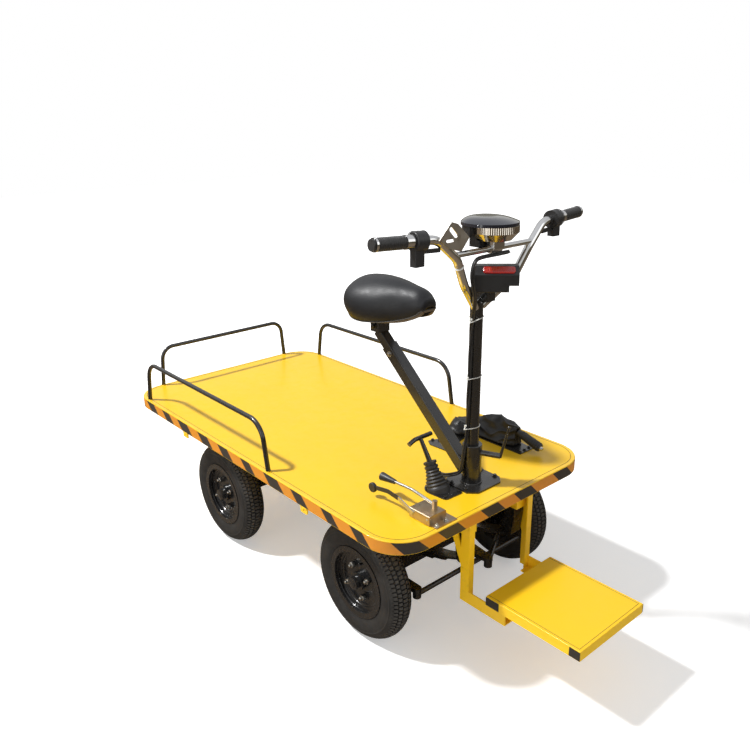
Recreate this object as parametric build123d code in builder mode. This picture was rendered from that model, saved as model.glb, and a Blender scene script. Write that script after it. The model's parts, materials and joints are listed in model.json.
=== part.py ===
from build123d import *
import math
import os

os.makedirs("parts", exist_ok=True)

# Frame: +X forward, +Y to the rider's left, +Z up, millimetres.
# The origin is on the ground, below the middle of the cart's whole length.

# Driving dimensions of the deck
deck_length = 1600.0
deck_width = 865.0
deck_corner = 118.0
deck_top = 458.0
deck_sheet = 3.0
deck_gap = 1.5
rim_height = 40.0
rim_wall = 4.0
rim_flange = 14.0
rim_round = 2.5

# Driving dimensions of the foot tray and its frame
tray_reach = 388.0
tray_gap = 70.0
tray_width = 300.0
tray_thick = 30.0
tray_drop = 233.0
tray_wall = 2.5
post_half_gap = 139.0
post_leg = 32.0
post_face = 22.0
arm_leg = 40.0
post_wall = 4.0

# Driving dimensions of the running gear
tyre_radius = 190.0
tyre_width = 86.0
bead_radius = 101.5
rim_radius = 116.0
rim_width = 74.0
rim_sheet = 3.5
lug_circle = 104.0
front_track = 640.0
rear_track = 672.0
front_axle_back = 271.0
wheel_base = 763.0
kingpin_inset = 80.0
steer_arm = 151.0
pitman_arm = 80.0
spindle_radius = 12.0
hub_radius = 29.0

# Named clearances
running_gap = 0.3
seat_gap = 0.2

# Places worked out from the driving dimensions
deck_rear = -(deck_length + tray_reach) / 2
deck_front = deck_rear + deck_length
deck_half = deck_width / 2
rim_bottom = deck_top - rim_height
front_axle_x = deck_front - front_axle_back
rear_axle_x = front_axle_x - wheel_base
axle_z = tyre_radius
kingpin_y = front_track / 2 - kingpin_inset


def save(part, name):
    """Label a finished piece and write it as one STEP file."""
    part.label = name
    export_step(part, f"parts/{name}.step")


# Deck: a sheet let into a rim with rounded corners, and tie tabs under its sides
deck_mid = (deck_rear + deck_front) / 2
tab_backs = (439.0, 1188.0)
tab_long = 34.0
tab_high = 20.0
tab_hole = 3.5
tab_mid_z = rim_bottom - tab_high / 2
rim_plane = Plane.XY.offset(rim_bottom).move(Location((deck_mid, 0, 0)))
with BuildPart() as deck_rim:
    with BuildSketch(rim_plane):
        RectangleRounded(deck_length, deck_width, deck_corner)
    extrude(amount=rim_height)
    with BuildSketch(rim_plane):
        RectangleRounded(
            deck_length - 2 * rim_wall, deck_width - 2 * rim_wall, deck_corner - rim_wall
        )
    extrude(amount=rim_height - deck_sheet, mode=Mode.SUBTRACT)
    with BuildSketch(rim_plane):
        RectangleRounded(
            deck_length - 2 * rim_flange, deck_width - 2 * rim_flange, deck_corner - rim_flange
        )
    extrude(amount=rim_height, mode=Mode.SUBTRACT)
    top_face = deck_rim.faces().sort_by(Axis.Z)[-1]
    fillet(top_face.outer_wire().edges(), rim_round)
    for side in (-1, 1):
        tab_plane = Plane(
            origin=(deck_rear, side * deck_half, tab_mid_z), x_dir=(side, 0, 0), z_dir=(0, -side, 0)
        )
        with BuildSketch(tab_plane):
            for back in tab_backs:
                with Locations((side * back, tab_high / 4)):
                    RectangleRounded(tab_long, 1.5 * tab_high, tab_high / 4)
                with Locations((side * back, 0)):
                    Circle(tab_hole, mode=Mode.SUBTRACT)
        extrude(amount=rim_wall)
save(deck_rim.part, "deck_rim")

# Steering column place, used by the holes in the deck
column_back = 132.0
column_x = deck_front - column_back
column_radius = 19.0
column_high = 568.0
shaft_radius = 14.0
sleeve_radius = 30.0
sleeve_height = 130.0
shaft_hole = shaft_radius + 2.0

sheet_inset = rim_flange + deck_gap
sheet_plane = Plane.XY.offset(deck_top - deck_sheet).move(Location((deck_mid, 0, 0)))
with BuildPart() as deck_plate:
    with BuildSketch(sheet_plane):
        RectangleRounded(
            deck_length - 2 * sheet_inset, deck_width - 2 * sheet_inset, deck_corner - sheet_inset
        )
        with Locations((column_x - deck_mid, 0)):
            Circle(shaft_hole, mode=Mode.SUBTRACT)
    extrude(amount=deck_sheet)
save(deck_plate.part, "deck_plate")

# Underframe: two rails, with cross members and a lower column bearing between them
rail_half_gap = 112.0
rail_wide = 40.0
rail_high = 50.0
cross_wide = 40.0
cross_high = 34.0
cross_top = deck_top - deck_sheet
rail_top = cross_top - cross_high
rail_bottom = rail_top - rail_high
rail_rear = deck_rear + 60.0
rail_front = deck_front - 24.0
rail_clear = rail_half_gap - rail_wide / 2 - seat_gap
frame_inset = rim_wall + seat_gap
bearing_long = 60.0
bearing_thick = 8.0
cross_places = (
    rail_rear + cross_wide / 2,
    rear_axle_x - 130.0,
    rear_axle_x + 190.0,
    (rear_axle_x + front_axle_x) / 2 + 96.0,
    front_axle_x - 150.0,
    front_axle_x + 60.0,
    rail_front - cross_wide / 2,
)
with BuildPart() as underframe:
    for side in (-1, 1):
        with BuildSketch(Plane.XY.offset(rail_bottom)):
            with Locations(((rail_rear + rail_front) / 2, side * rail_half_gap)):
                Rectangle(rail_front - rail_rear, rail_wide)
        extrude(amount=rail_high)
save(underframe.part, "underframe")
with BuildPart() as cross_members:
    with BuildSketch(Plane.XY.offset(rail_top)):
        for place in cross_places:
            with Locations((place, 0)):
                Rectangle(cross_wide, deck_width)
        with Locations((deck_mid, 0)):
            RectangleRounded(
                deck_length - 2 * frame_inset,
                deck_width - 2 * frame_inset,
                deck_corner - frame_inset,
                mode=Mode.INTERSECT,
            )
    extrude(amount=cross_high)
    with BuildSketch(Plane.XY.offset(rail_bottom)):
        with Locations((column_x, 0)):
            Rectangle(bearing_long, 2 * rail_clear)
            Circle(shaft_hole, mode=Mode.SUBTRACT)
    extrude(amount=bearing_thick)
save(cross_members.part, "cross_members")

# Three tube hoops round the deck
hoop_tube = 8.0
hoop_height = 160.0
hoop_step = 3.0
side_hoop_long = 854.0
side_hoop_rear = deck_rear + 131.0
side_hoop_front = side_hoop_rear + side_hoop_long
side_hoop_y = deck_half - rim_flange + hoop_step
side_hoop_bend = 72.0
side_hoop_flare = 26.0
rear_hoop_half = 305.0
rear_hoop_bend = 52.0
rear_hoop_flare = 12.0
rear_hoop_x = deck_rear + rim_flange - hoop_step


def hoop(plane, low, high, bend, flare):
    """A bent tube from low to high along the plane's X, its feet on the rim."""
    with BuildPart() as tube:
        with BuildLine(plane):
            path = FilletPolyline(
                (low, 0),
                (low + flare, hoop_height),
                (high - flare, hoop_height),
                (high, 0),
                radius=bend,
            )
        with BuildSketch(Plane(origin=path @ 0, z_dir=path % 0)):
            Circle(hoop_tube)
        sweep()
        split(bisect_by=Plane.XY.offset(deck_top), keep=Keep.TOP)
    return tube.part


deck_edge_plane = Plane(origin=(0, 0, deck_top), x_dir=(1, 0, 0), z_dir=(0, -1, 0))
for side, name in ((-1, "hoop_right"), (1, "hoop_left")):
    side_plane = deck_edge_plane.offset(-side * side_hoop_y)
    save(hoop(side_plane, side_hoop_rear, side_hoop_front, side_hoop_bend, side_hoop_flare), name)
rear_plane = Plane(origin=(rear_hoop_x, 0, deck_top), x_dir=(0, 1, 0), z_dir=(1, 0, 0))
save(hoop(rear_plane, -rear_hoop_half, rear_hoop_half, rear_hoop_bend, rear_hoop_flare), "hoop_rear")

# Foot frame: posts, braces and arms of angle iron, each leg a flat bar
tray_top = deck_top - tray_drop
tray_bottom = tray_top - tray_thick
tray_rear = deck_front + tray_gap
tray_front = deck_front + tray_reach
post_front = deck_front - rim_wall - seat_gap
post_rear = post_front - post_leg
arm_bottom = tray_bottom - arm_leg
arm_front = deck_front + 136.0
brace_low = arm_bottom + 118.0
brace_run = 62.0
brace_wide = 34.0
brace_foot = 56.0
with BuildPart() as foot_frame:
    for side in (-1, 1):
        outer = side * (post_half_gap + post_wall / 2)
        post_inner = side * (post_half_gap - post_face / 2 + post_wall)
        arm_inner = side * (post_half_gap - arm_leg / 2 + post_wall)
        with BuildSketch(Plane.XY.offset(arm_bottom)):
            with Locations((post_front - post_leg / 2, outer)):
                Rectangle(post_leg, post_wall)
            with Locations((post_front - post_wall / 2, post_inner)):
                Rectangle(post_wall, post_face)
        extrude(amount=rail_top - arm_bottom)
        with BuildSketch(Plane.XY.offset(arm_bottom)):
            with Locations(((post_rear + arm_front) / 2, outer)):
                Rectangle(arm_front - post_rear, post_wall)
        extrude(amount=arm_leg)
        with BuildSketch(Plane.XY.offset(arm_bottom)):
            with Locations(((post_front + arm_front) / 2, arm_inner)):
                Rectangle(arm_front - post_front, arm_leg)
        extrude(amount=post_wall)
        brace_plane = Plane(origin=(0, outer - post_wall / 2, 0), x_dir=(1, 0, 0), z_dir=(0, -1, 0))
        with BuildSketch(brace_plane.offset(-post_wall)):
            with BuildLine():
                Polyline(
                    (post_rear, brace_low),
                    (post_rear - brace_run, rail_top),
                    (post_rear - brace_run + brace_wide, rail_top),
                    (post_rear, brace_low + brace_foot),
                    close=True,
                )
            make_face()
        extrude(amount=post_wall)
save(foot_frame.part, "foot_frame")

# Foot tray: a folded pan, open below
tray_mid = (tray_rear + tray_front) / 2
tray_corner = 3.0
with BuildPart() as foot_tray:
    with BuildSketch(Plane.XY.offset(tray_bottom).move(Location((tray_mid, 0, 0)))):
        Rectangle(tray_front - tray_rear, tray_width)
    extrude(amount=tray_thick)
    fillet(foot_tray.edges().filter_by(Axis.Z), tray_corner)
    fillet(foot_tray.faces().sort_by(Axis.Z)[-1].edges(), tray_corner / 2)
    pan_bottom = foot_tray.faces().sort_by(Axis.Z)[0]
    offset(amount=-tray_wall, openings=pan_bottom)
save(foot_tray.part, "foot_tray")

# Column base: floor plate with cut corners, bearing sleeve and a small upright hand lever
base_long = 130.0
base_wide = 150.0
base_cut = 24.0
base_shift = 10.0
base_thick = 5.0
base_hole = 4.5
base_hole_x = 29.0
base_hole_margin = 9.0
sleeve_bore = column_radius + 1.0
lever_height = 105.0
lever_turn = math.radians(24.0)
lever_stub = 88.0
lever_stub_radius = 8.5
lever_rod = 97.0
lever_rod_low = 5.0
lever_rod_high = 3.0
lever_tip = 5.0
stub_dir = Vector(math.cos(lever_turn), math.sin(lever_turn), 0)
stub_start = Vector(column_x, 0, deck_top + lever_height)
stub_end = stub_start + stub_dir * lever_stub
rod_dir = Vector(20.0, 10.0, 95.0).normalized()
rod_plane = Plane(origin=stub_end, z_dir=rod_dir)
with BuildPart() as column_base:
    with BuildSketch(Plane.XY.offset(deck_top)):
        with Locations((column_x, base_shift)):
            Rectangle(base_long, base_wide)
        chamfer(vertices(), length=base_cut)
        with Locations((column_x, 0)):
            Circle(shaft_hole, mode=Mode.SUBTRACT)
        with Locations((column_x, base_shift)):
            with GridLocations(2 * base_hole_x, base_wide - 2 * base_hole_margin, 2, 2):
                Circle(base_hole, mode=Mode.SUBTRACT)
    extrude(amount=base_thick)
    with BuildSketch(Plane.XY.offset(deck_top + base_thick)):
        with Locations((column_x, 0)):
            Circle(sleeve_radius)
    extrude(amount=sleeve_height - base_thick)
    fillet(column_base.faces().sort_by(Axis.Z)[-1].edges(), 2.0)
    with BuildSketch(Plane(origin=stub_start, z_dir=stub_dir)):
        Circle(lever_stub_radius)
    extrude(amount=lever_stub)
    with BuildSketch(rod_plane.offset(-lever_stub_radius / 2)):
        Circle(lever_rod_low)
    with BuildSketch(rod_plane.offset(lever_rod)):
        Circle(lever_rod_high)
    loft()
    with Locations(stub_end + rod_dir * lever_rod):
        Sphere(lever_tip)
    with BuildSketch(Plane.XY.offset(deck_top + base_thick)):
        with Locations((column_x, 0)):
            Circle(sleeve_bore)
    extrude(amount=sleeve_height, mode=Mode.SUBTRACT)
save(column_base.part, "column_base")

# Seat strut: a square tube leaning back from the sleeve, with a sliding post in it
strut_back = 22.0
strut_rise = 40.0
strut_angle = 42.2
strut_side = 40.0
strut_wall = 3.0
strut_length = 470.0
post_side = strut_side - 2 * strut_wall - 2 * seat_gap
post_out = 62.0
post_in = 120.0
strut_low = (column_x - strut_back, deck_top + strut_rise)
strut_dir = (-math.cos(math.radians(strut_angle)), 0, math.sin(math.radians(strut_angle)))
strut_plane = Plane(origin=(strut_low[0], 0, strut_low[1]), x_dir=(0, 1, 0), z_dir=strut_dir)
with BuildPart() as seat_strut:
    with BuildSketch(strut_plane):
        RectangleRounded(strut_side, strut_side, 4.0)
        Rectangle(post_side + 2 * seat_gap, post_side + 2 * seat_gap, mode=Mode.SUBTRACT)
    extrude(amount=strut_length)
    with BuildSketch(Plane.XY.offset(deck_top + base_thick)):
        with Locations((column_x, 0)):
            Circle(sleeve_radius)
    extrude(amount=sleeve_height, mode=Mode.SUBTRACT)
save(seat_strut.part, "seat_strut")

# Saddle: a wide crowned cushion narrowing to a tall blunt nose, carried at the post's top
post_top = strut_length + post_out
cradle_x = strut_low[0] + strut_dir[0] * post_top
cradle_z = strut_low[1] + strut_dir[2] * post_top
saddle_rear = cradle_x - 97.0
saddle_floor = cradle_z + 54.7
shoulder_share = 0.24
saddle_sections = (
    # back, shoulder half width, base half width, base above the floor, crown above the floor
    (0.0, 52.0, 50.0, 38.0, 94.0),
    (28.0, 76.0, 78.0, 14.0, 119.0),
    (85.0, 90.0, 100.0, 0.0, 130.0),
    (165.0, 76.0, 86.0, 0.0, 132.0),
    (245.0, 49.0, 52.0, 10.0, 123.0),
    (300.0, 36.0, 36.0, 30.0, 115.0),
    (322.0, 26.0, 26.0, 48.0, 96.0),
)
with BuildPart() as saddle:
    for back, shoulder, base, low, crown in saddle_sections:
        level = crown - shoulder_share * (crown - low)
        section = Plane(
            origin=(saddle_rear + back, 0, saddle_floor), x_dir=(0, 1, 0), z_dir=(1, 0, 0)
        )
        with BuildSketch(section):
            with BuildLine():
                top = ThreePointArc((-shoulder, level), (0, crown), (shoulder, level))
                TangentArc((shoulder, level), (base, low), tangent=top % 1)
                Line((base, low), (-base, low))
                TangentArc((-shoulder, level), (-base, low), tangent=-(top % 0))
            make_face()
    loft()
    split(bisect_by=Plane.XY.offset(saddle_floor), keep=Keep.TOP)
save(saddle.part, "saddle")

# Seat post: a tube sliding in the strut, with a clamp and a carrier plate under the cushion
post_tube_wall = 2.5
clamp_long = 46.0
clamp_wide = 52.0
carrier_long = 126.0
carrier_wide = 70.0
carrier_thick = 8.0
carrier_shift = -14.0
carrier_low = saddle_floor - seat_gap - carrier_thick
with BuildPart() as seat_post:
    with BuildSketch(strut_plane.offset(strut_length - post_in)):
        RectangleRounded(post_side, post_side, 3.0)
        Rectangle(post_side - 2 * post_tube_wall, post_side - 2 * post_tube_wall, mode=Mode.SUBTRACT)
    extrude(amount=post_in + post_out)
    with BuildSketch(Plane.XY.offset(cradle_z)):
        with Locations((cradle_x, 0)):
            RectangleRounded(clamp_long, clamp_wide, 8.0)
    extrude(amount=carrier_low - cradle_z)
    with BuildSketch(Plane.XY.offset(carrier_low)):
        with Locations((cradle_x + carrier_shift, 0)):
            RectangleRounded(carrier_long, carrier_wide, 10.0)
    extrude(amount=carrier_thick)
save(seat_post.part, "seat_post")

# Steering column with its lower shaft and pitman arm
joint_pin = 5.0
link_radius = 8.0
link_eye = 13.0
link_eye_high = 20.0
arm_thick = 12.0
arm_end = 14.0
pitman_boss = 24.0
eye_gap = 1.0
arm_top = axle_z + arm_thick / 2
drag_z = arm_top + eye_gap + link_eye_high / 2
tie_z = axle_z - arm_thick / 2 - eye_gap - link_eye_high / 2
pitman_bottom = drag_z + link_eye_high / 2 + eye_gap
column_foot = deck_top + base_thick + 1.0
column_top = deck_top + column_high
with BuildPart() as steering_column:
    with BuildSketch(Plane.XY.offset(column_foot)):
        with Locations((column_x, 0)):
            Circle(column_radius)
    extrude(amount=column_top - column_foot)
    with BuildSketch(Plane.XY.offset(pitman_bottom)):
        with Locations((column_x, 0)):
            Circle(shaft_radius)
    extrude(amount=column_foot - pitman_bottom)
    with BuildSketch(Plane.XY.offset(pitman_bottom)):
        with Locations((column_x, 0)):
            Circle(pitman_boss)
        with Locations((column_x + pitman_arm, 0)):
            Circle(arm_end)
        make_hull()
    extrude(amount=arm_thick)
    with BuildSketch(Plane.XY.offset(drag_z - link_eye_high / 2)):
        with Locations((column_x + pitman_arm, 0)):
            Circle(joint_pin)
    extrude(amount=link_eye_high + eye_gap)
save(steering_column.part, "steering_column")

# Handlebar: two bent risers let into the column's sides, tied by a cross bar
bar_radius = 12.0
cross_bar_radius = 8.0
bar_path = (
    # forward of the column, out from the middle, above the deck
    (31.0, 410.0, 782.0),
    (50.0, 214.0, 774.0),
    (58.0, 148.0, 716.0),
    (46.0, 106.0, 640.0),
    (6.0, 14.0, column_high - 12.0),
)
bar_bends = (62.0, 70.0, 90.0)
cross_bar_x = column_x + 57.0
cross_bar_z = deck_top + 727.0
cross_bar_half = 150.0
with BuildPart() as handlebar:
    for side in (-1, 1):
        points = [Vector(column_x + f, side * o, deck_top + u) for f, o, u in bar_path]
        with BuildLine():
            bar_line = FilletPolyline(*points, radius=list(bar_bends))
        with BuildSketch(Plane(origin=bar_line @ 0, z_dir=bar_line % 0)):
            Circle(bar_radius)
        sweep()
    with BuildSketch(Plane(origin=(cross_bar_x, -cross_bar_half, cross_bar_z), z_dir=(0, 1, 0))):
        Circle(cross_bar_radius)
    extrude(amount=2 * cross_bar_half)
    with BuildSketch(Plane.XY.offset(column_top - 4 * bar_radius)):
        with Locations((column_x, 0)):
            Circle(column_radius + seat_gap)
    extrude(amount=8 * bar_radius, mode=Mode.SUBTRACT)
save(handlebar.part, "handlebar")

# Chrome plate with two slots, in front of the right bend
plate_thick = 3.0
plate_sink = 4.2
plate_x = column_x + bar_path[2][0] + bar_radius - plate_sink
plate_plane = Plane(origin=(plate_x, 0, deck_top), x_dir=(0, 1, 0), z_dir=(1, 0, 0))
plate_outline = (
    # across, above the deck
    (-224.0, 774.0),
    (-182.0, 816.0),
    (-158.0, 809.0),
    (-114.0, 770.0),
    (-143.0, 737.0),
    (-190.0, 750.0),
)
with BuildPart() as bar_bracket:
    with BuildSketch(plate_plane):
        Polygon(*plate_outline, align=None)
        with Locations(Location((-174.0, 789.0, 0), (0, 0, -45))):
            SlotCenterToCenter(24.0, 12.0, mode=Mode.SUBTRACT)
        with Locations((-186.0, 769.0)):
            SlotCenterToCenter(20.0, 8.0, mode=Mode.SUBTRACT)
    extrude(amount=plate_thick)
save(bar_bracket.part, "bar_bracket")

# Grips: end plug, rubber sleeve and inner collar on each bar end
grip_rows = (
    # start along the bar, end, radius
    (-5.0, 1.0, 15.0),
    (1.0, 9.0, 17.5),
    (9.0, 93.0, 16.5),
    (93.0, 118.0, 17.8),
)
pod_start = 120.0
pod_end = 155.0
pod_radius = 25.5
pod_round = 5.0


def bar_end(side, along):
    """A plane square to one bar end, at a distance inwards from its tip."""
    tip = Vector(column_x + bar_path[0][0], side * bar_path[0][1], deck_top + bar_path[0][2])
    bend = Vector(column_x + bar_path[1][0], side * bar_path[1][1], deck_top + bar_path[1][2])
    inward = (bend - tip).normalized()
    return Plane(origin=tip + inward * along, z_dir=inward)


with BuildPart() as grips:
    for side in (-1, 1):
        for start, end, radius in grip_rows:
            with BuildSketch(bar_end(side, start)):
                Circle(radius)
            extrude(amount=end - start)
        with BuildSketch(bar_end(side, 0)):
            Circle(bar_radius + seat_gap)
        extrude(amount=grip_rows[-1][1], mode=Mode.SUBTRACT)
save(grips.part, "grips")

# Control pods: a drum on each bar end with a switch box under it
switch_drops = {-1: (22.0, 63.0), 1: (20.0, 50.0)}
switch_long = 24.0
switch_wide = 32.0
prong_size = 10.0
prong_drop = 27.0
prong_end = 205.0
pod_middle = (pod_start + pod_end) / 2 - 3.0
with BuildPart() as control_pods:
    for side in (-1, 1):
        with BuildSketch(bar_end(side, pod_start)):
            Circle(pod_radius)
        extrude(amount=pod_end - pod_start)
        rims = control_pods.edges().filter_by(GeomType.CIRCLE).group_by(Axis.Y)
        outer_edge = rims[0 if side < 0 else -1]
        fillet(outer_edge, pod_round)
        middle = bar_end(side, pod_middle).origin
        high, low = switch_drops[side]
        with BuildSketch(Plane.XY.offset(middle.Z - low)):
            with Locations((middle.X, middle.Y)):
                RectangleRounded(switch_long, switch_wide, 4.0)
        extrude(amount=low - high + 8.0)
        start = bar_end(side, pod_middle).origin - Vector(0, 0, prong_drop)
        end = bar_end(side, prong_end).origin - Vector(0, 0, prong_drop)
        with BuildSketch(Plane(origin=start, z_dir=end - start)):
            Rectangle(prong_size, prong_size)
        extrude(amount=(end - start).length)
        with BuildSketch(bar_end(side, pod_start - 1.0)):
            Circle(bar_radius + seat_gap)
        extrude(amount=prong_end, mode=Mode.SUBTRACT)
save(control_pods.part, "control_pods")

# Head lamp: a brimmed dome over a lens in front and a dark housing behind
lamp_x = column_x + 38.0
lamp_lip = deck_top + 789.0
brim_radius = 79.0
brim_thick = 8.0
dome_sections = (
    # back from the lamp's middle, radius, rise above the brim
    (0.0, 79.0, 0.0),
    (8.0, 62.0, 8.0),
    (16.0, 30.0, 14.0),
)
lens_shift = 18.0
lens_radius = 64.0
lens_foot = 46.0
lens_band = 19.0
lens_high = 39.0
housing_radius = 75.0
housing_high = 27.0
housing_back = 5.0
driver_long = 26.0
driver_wide = 42.0
driver_low = 58.0
driver_place = (lamp_x - 9.0, -25.0)
lamp_reach = 4 * brim_radius
split_x = lamp_x - housing_back
with BuildPart() as lamp_cover:
    with BuildSketch(Plane.XY.offset(lamp_lip)):
        with Locations((lamp_x, 0)):
            Circle(brim_radius)
    extrude(amount=brim_thick)
    for back, radius, rise in dome_sections:
        with BuildSketch(Plane.XY.offset(lamp_lip + brim_thick + rise)):
            with Locations((lamp_x - back, 0)):
                Circle(radius)
    loft()
save(lamp_cover.part, "lamp_cover")
with BuildPart() as lamp_lens:
    with BuildSketch(Plane.XY.offset(lamp_lip - seat_gap)):
        with Locations((lamp_x + lens_shift, 0)):
            Circle(lens_radius)
    extrude(amount=seat_gap - lens_band)
    for drop, radius in ((lens_band, lens_radius), (lens_high, lens_foot)):
        with BuildSketch(Plane.XY.offset(lamp_lip - drop)):
            with Locations((lamp_x + lens_shift, 0)):
                Circle(radius)
    loft()
    split(bisect_by=Plane.YZ.offset(split_x), keep=Keep.TOP)
save(lamp_lens.part, "lamp_lens")
with BuildPart() as lamp_housing:
    with BuildSketch(Plane.XY.offset(lamp_lip - seat_gap)):
        with Locations((lamp_x, 0)):
            Circle(housing_radius)
        with Locations((split_x - seat_gap - lamp_reach / 2, 0)):
            Rectangle(lamp_reach, lamp_reach, mode=Mode.INTERSECT)
    extrude(amount=seat_gap - housing_high)
    with BuildSketch(Plane.XY.offset(lamp_lip - driver_low)):
        with Locations(driver_place):
            RectangleRounded(driver_long, driver_wide, 4.0)
    extrude(amount=driver_low - lens_high - 2 * seat_gap)
    with BuildSketch(Plane.XY.offset(lamp_lip - driver_low)):
        with Locations((split_x - seat_gap - driver_long / 2, driver_place[1])):
            Rectangle(driver_long, driver_wide)
    extrude(amount=driver_low - housing_high)
save(lamp_housing.part, "lamp_housing")

# Lamp bracket: a saddle over the cross bar with a block up to the lens
bracket_long = 30.0
bracket_wide = 44.0
bracket_ring = 12.0
bracket_top = lamp_lip - lens_high - seat_gap
with BuildPart() as lamp_bracket:
    with BuildSketch(Plane.XY.offset(cross_bar_z)):
        with Locations((cross_bar_x + 3.0, 0)):
            RectangleRounded(bracket_long, bracket_wide, 4.0)
    extrude(amount=bracket_top - cross_bar_z)
    with Locations((cross_bar_x, 0, cross_bar_z)):
        Cylinder(bracket_ring, bracket_wide, rotation=(90, 0, 0))
        Cylinder(cross_bar_radius + seat_gap, bracket_wide, rotation=(90, 0, 0), mode=Mode.SUBTRACT)
save(lamp_bracket.part, "lamp_bracket")

# Alarm box turned to the front right, its red lens on the sloping front edge
alarm_x = column_x + 64.0
alarm_turn = math.radians(-45.0)
alarm_low = column_top + 43.0
alarm_half = 62.0
alarm_foot = 36.0
alarm_step = 18.0
alarm_front = 27.5
alarm_rear = -27.5
alarm_high = 70.0
slope = 21.0
lens_wide = 86.0
lens_tall = 20.0
lens_thick = 5.0
lens_side = 8.0
facing = Vector(math.cos(alarm_turn), math.sin(alarm_turn), 0)
sideways = Vector(-facing.Y, facing.X, 0)
alarm_mid = Vector(alarm_x, 0, alarm_low)
alarm_end = Plane(origin=alarm_mid + sideways * alarm_half, x_dir=facing, z_dir=-sideways)
with BuildPart() as alarm_box:
    with BuildSketch(alarm_end):
        Polygon(
            (alarm_rear, alarm_step),
            (alarm_front, alarm_step),
            (alarm_front, alarm_high - slope),
            (alarm_front - slope, alarm_high),
            (alarm_rear, alarm_high),
            align=None,
        )
    extrude(amount=2 * alarm_half)
    with BuildSketch(alarm_end.offset(alarm_half - alarm_foot)):
        Polygon(
            (alarm_rear, 0),
            (alarm_front, 0),
            (alarm_front, alarm_step + 1.0),
            (alarm_rear, alarm_step + 1.0),
            align=None,
        )
    extrude(amount=alarm_half + alarm_foot)
    fillet(alarm_box.edges().filter_by(Axis((0, 0, 0), sideways)), 4.0)
save(alarm_box.part, "alarm_box")
slope_out = (facing + Vector(0, 0, 1)).normalized()
slope_mid = alarm_mid + facing * (alarm_front - slope / 2) + Vector(0, 0, alarm_high - slope / 2)
lens_mid = slope_mid + slope_out * seat_gap + sideways * lens_side
lens_plane = Plane(origin=lens_mid, x_dir=sideways, z_dir=slope_out)
with BuildPart() as alarm_lens:
    with BuildSketch(lens_plane):
        RectangleRounded(lens_wide, lens_tall, 6.0)
    extrude(amount=lens_thick)
    fillet(alarm_lens.faces().sort_by(Axis((0, 0, 0), slope_out))[-1].edges(), 2.0)
save(alarm_lens.part, "alarm_lens")

# Alarm mount: a collar on the column's top, a stem and an arm under the box
mount_collar = 12.0
mount_stem = 34.0
mount_gap = 10.0
with BuildPart() as alarm_mount:
    with BuildSketch(Plane.XY.offset(column_top + seat_gap)):
        with Locations((column_x, 0)):
            Circle(mount_collar)
    extrude(amount=mount_gap)
    with BuildSketch(Plane.XY.offset(column_top + seat_gap + mount_gap)):
        with Locations((column_x, 0)):
            RectangleRounded(mount_stem, mount_stem, 3.0)
        with Locations((alarm_x - alarm_front, 0)):
            RectangleRounded(mount_stem, mount_stem, 3.0)
        make_hull()
    extrude(amount=alarm_low - column_top - mount_gap - 2 * seat_gap)
save(alarm_mount.part, "alarm_mount")

# Front axle: a box beam with a kingpin boss at each end
beam_wide = 50.0
beam_high = 40.0
boss_radius = 20.0
boss_high = 76.0
kingpin_radius = 10.0
spring_pad = 8.0
with BuildPart() as front_axle:
    with Locations((front_axle_x, 0, axle_z)):
        Box(beam_wide, 2 * kingpin_y, beam_high)
    for side in (-1, 1):
        with Locations((front_axle_x, side * kingpin_y, axle_z)):
            Cylinder(boss_radius, boss_high)
    for side in (-1, 1):
        with Locations((front_axle_x, side * kingpin_y, axle_z)):
            Cylinder(kingpin_radius + running_gap, boss_high, mode=Mode.SUBTRACT)
        with Locations((front_axle_x, side * rail_half_gap, axle_z + beam_high / 2 + spring_pad / 2)):
            Box(60.0, 45.0, spring_pad)
save(front_axle.part, "front_axle")

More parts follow.
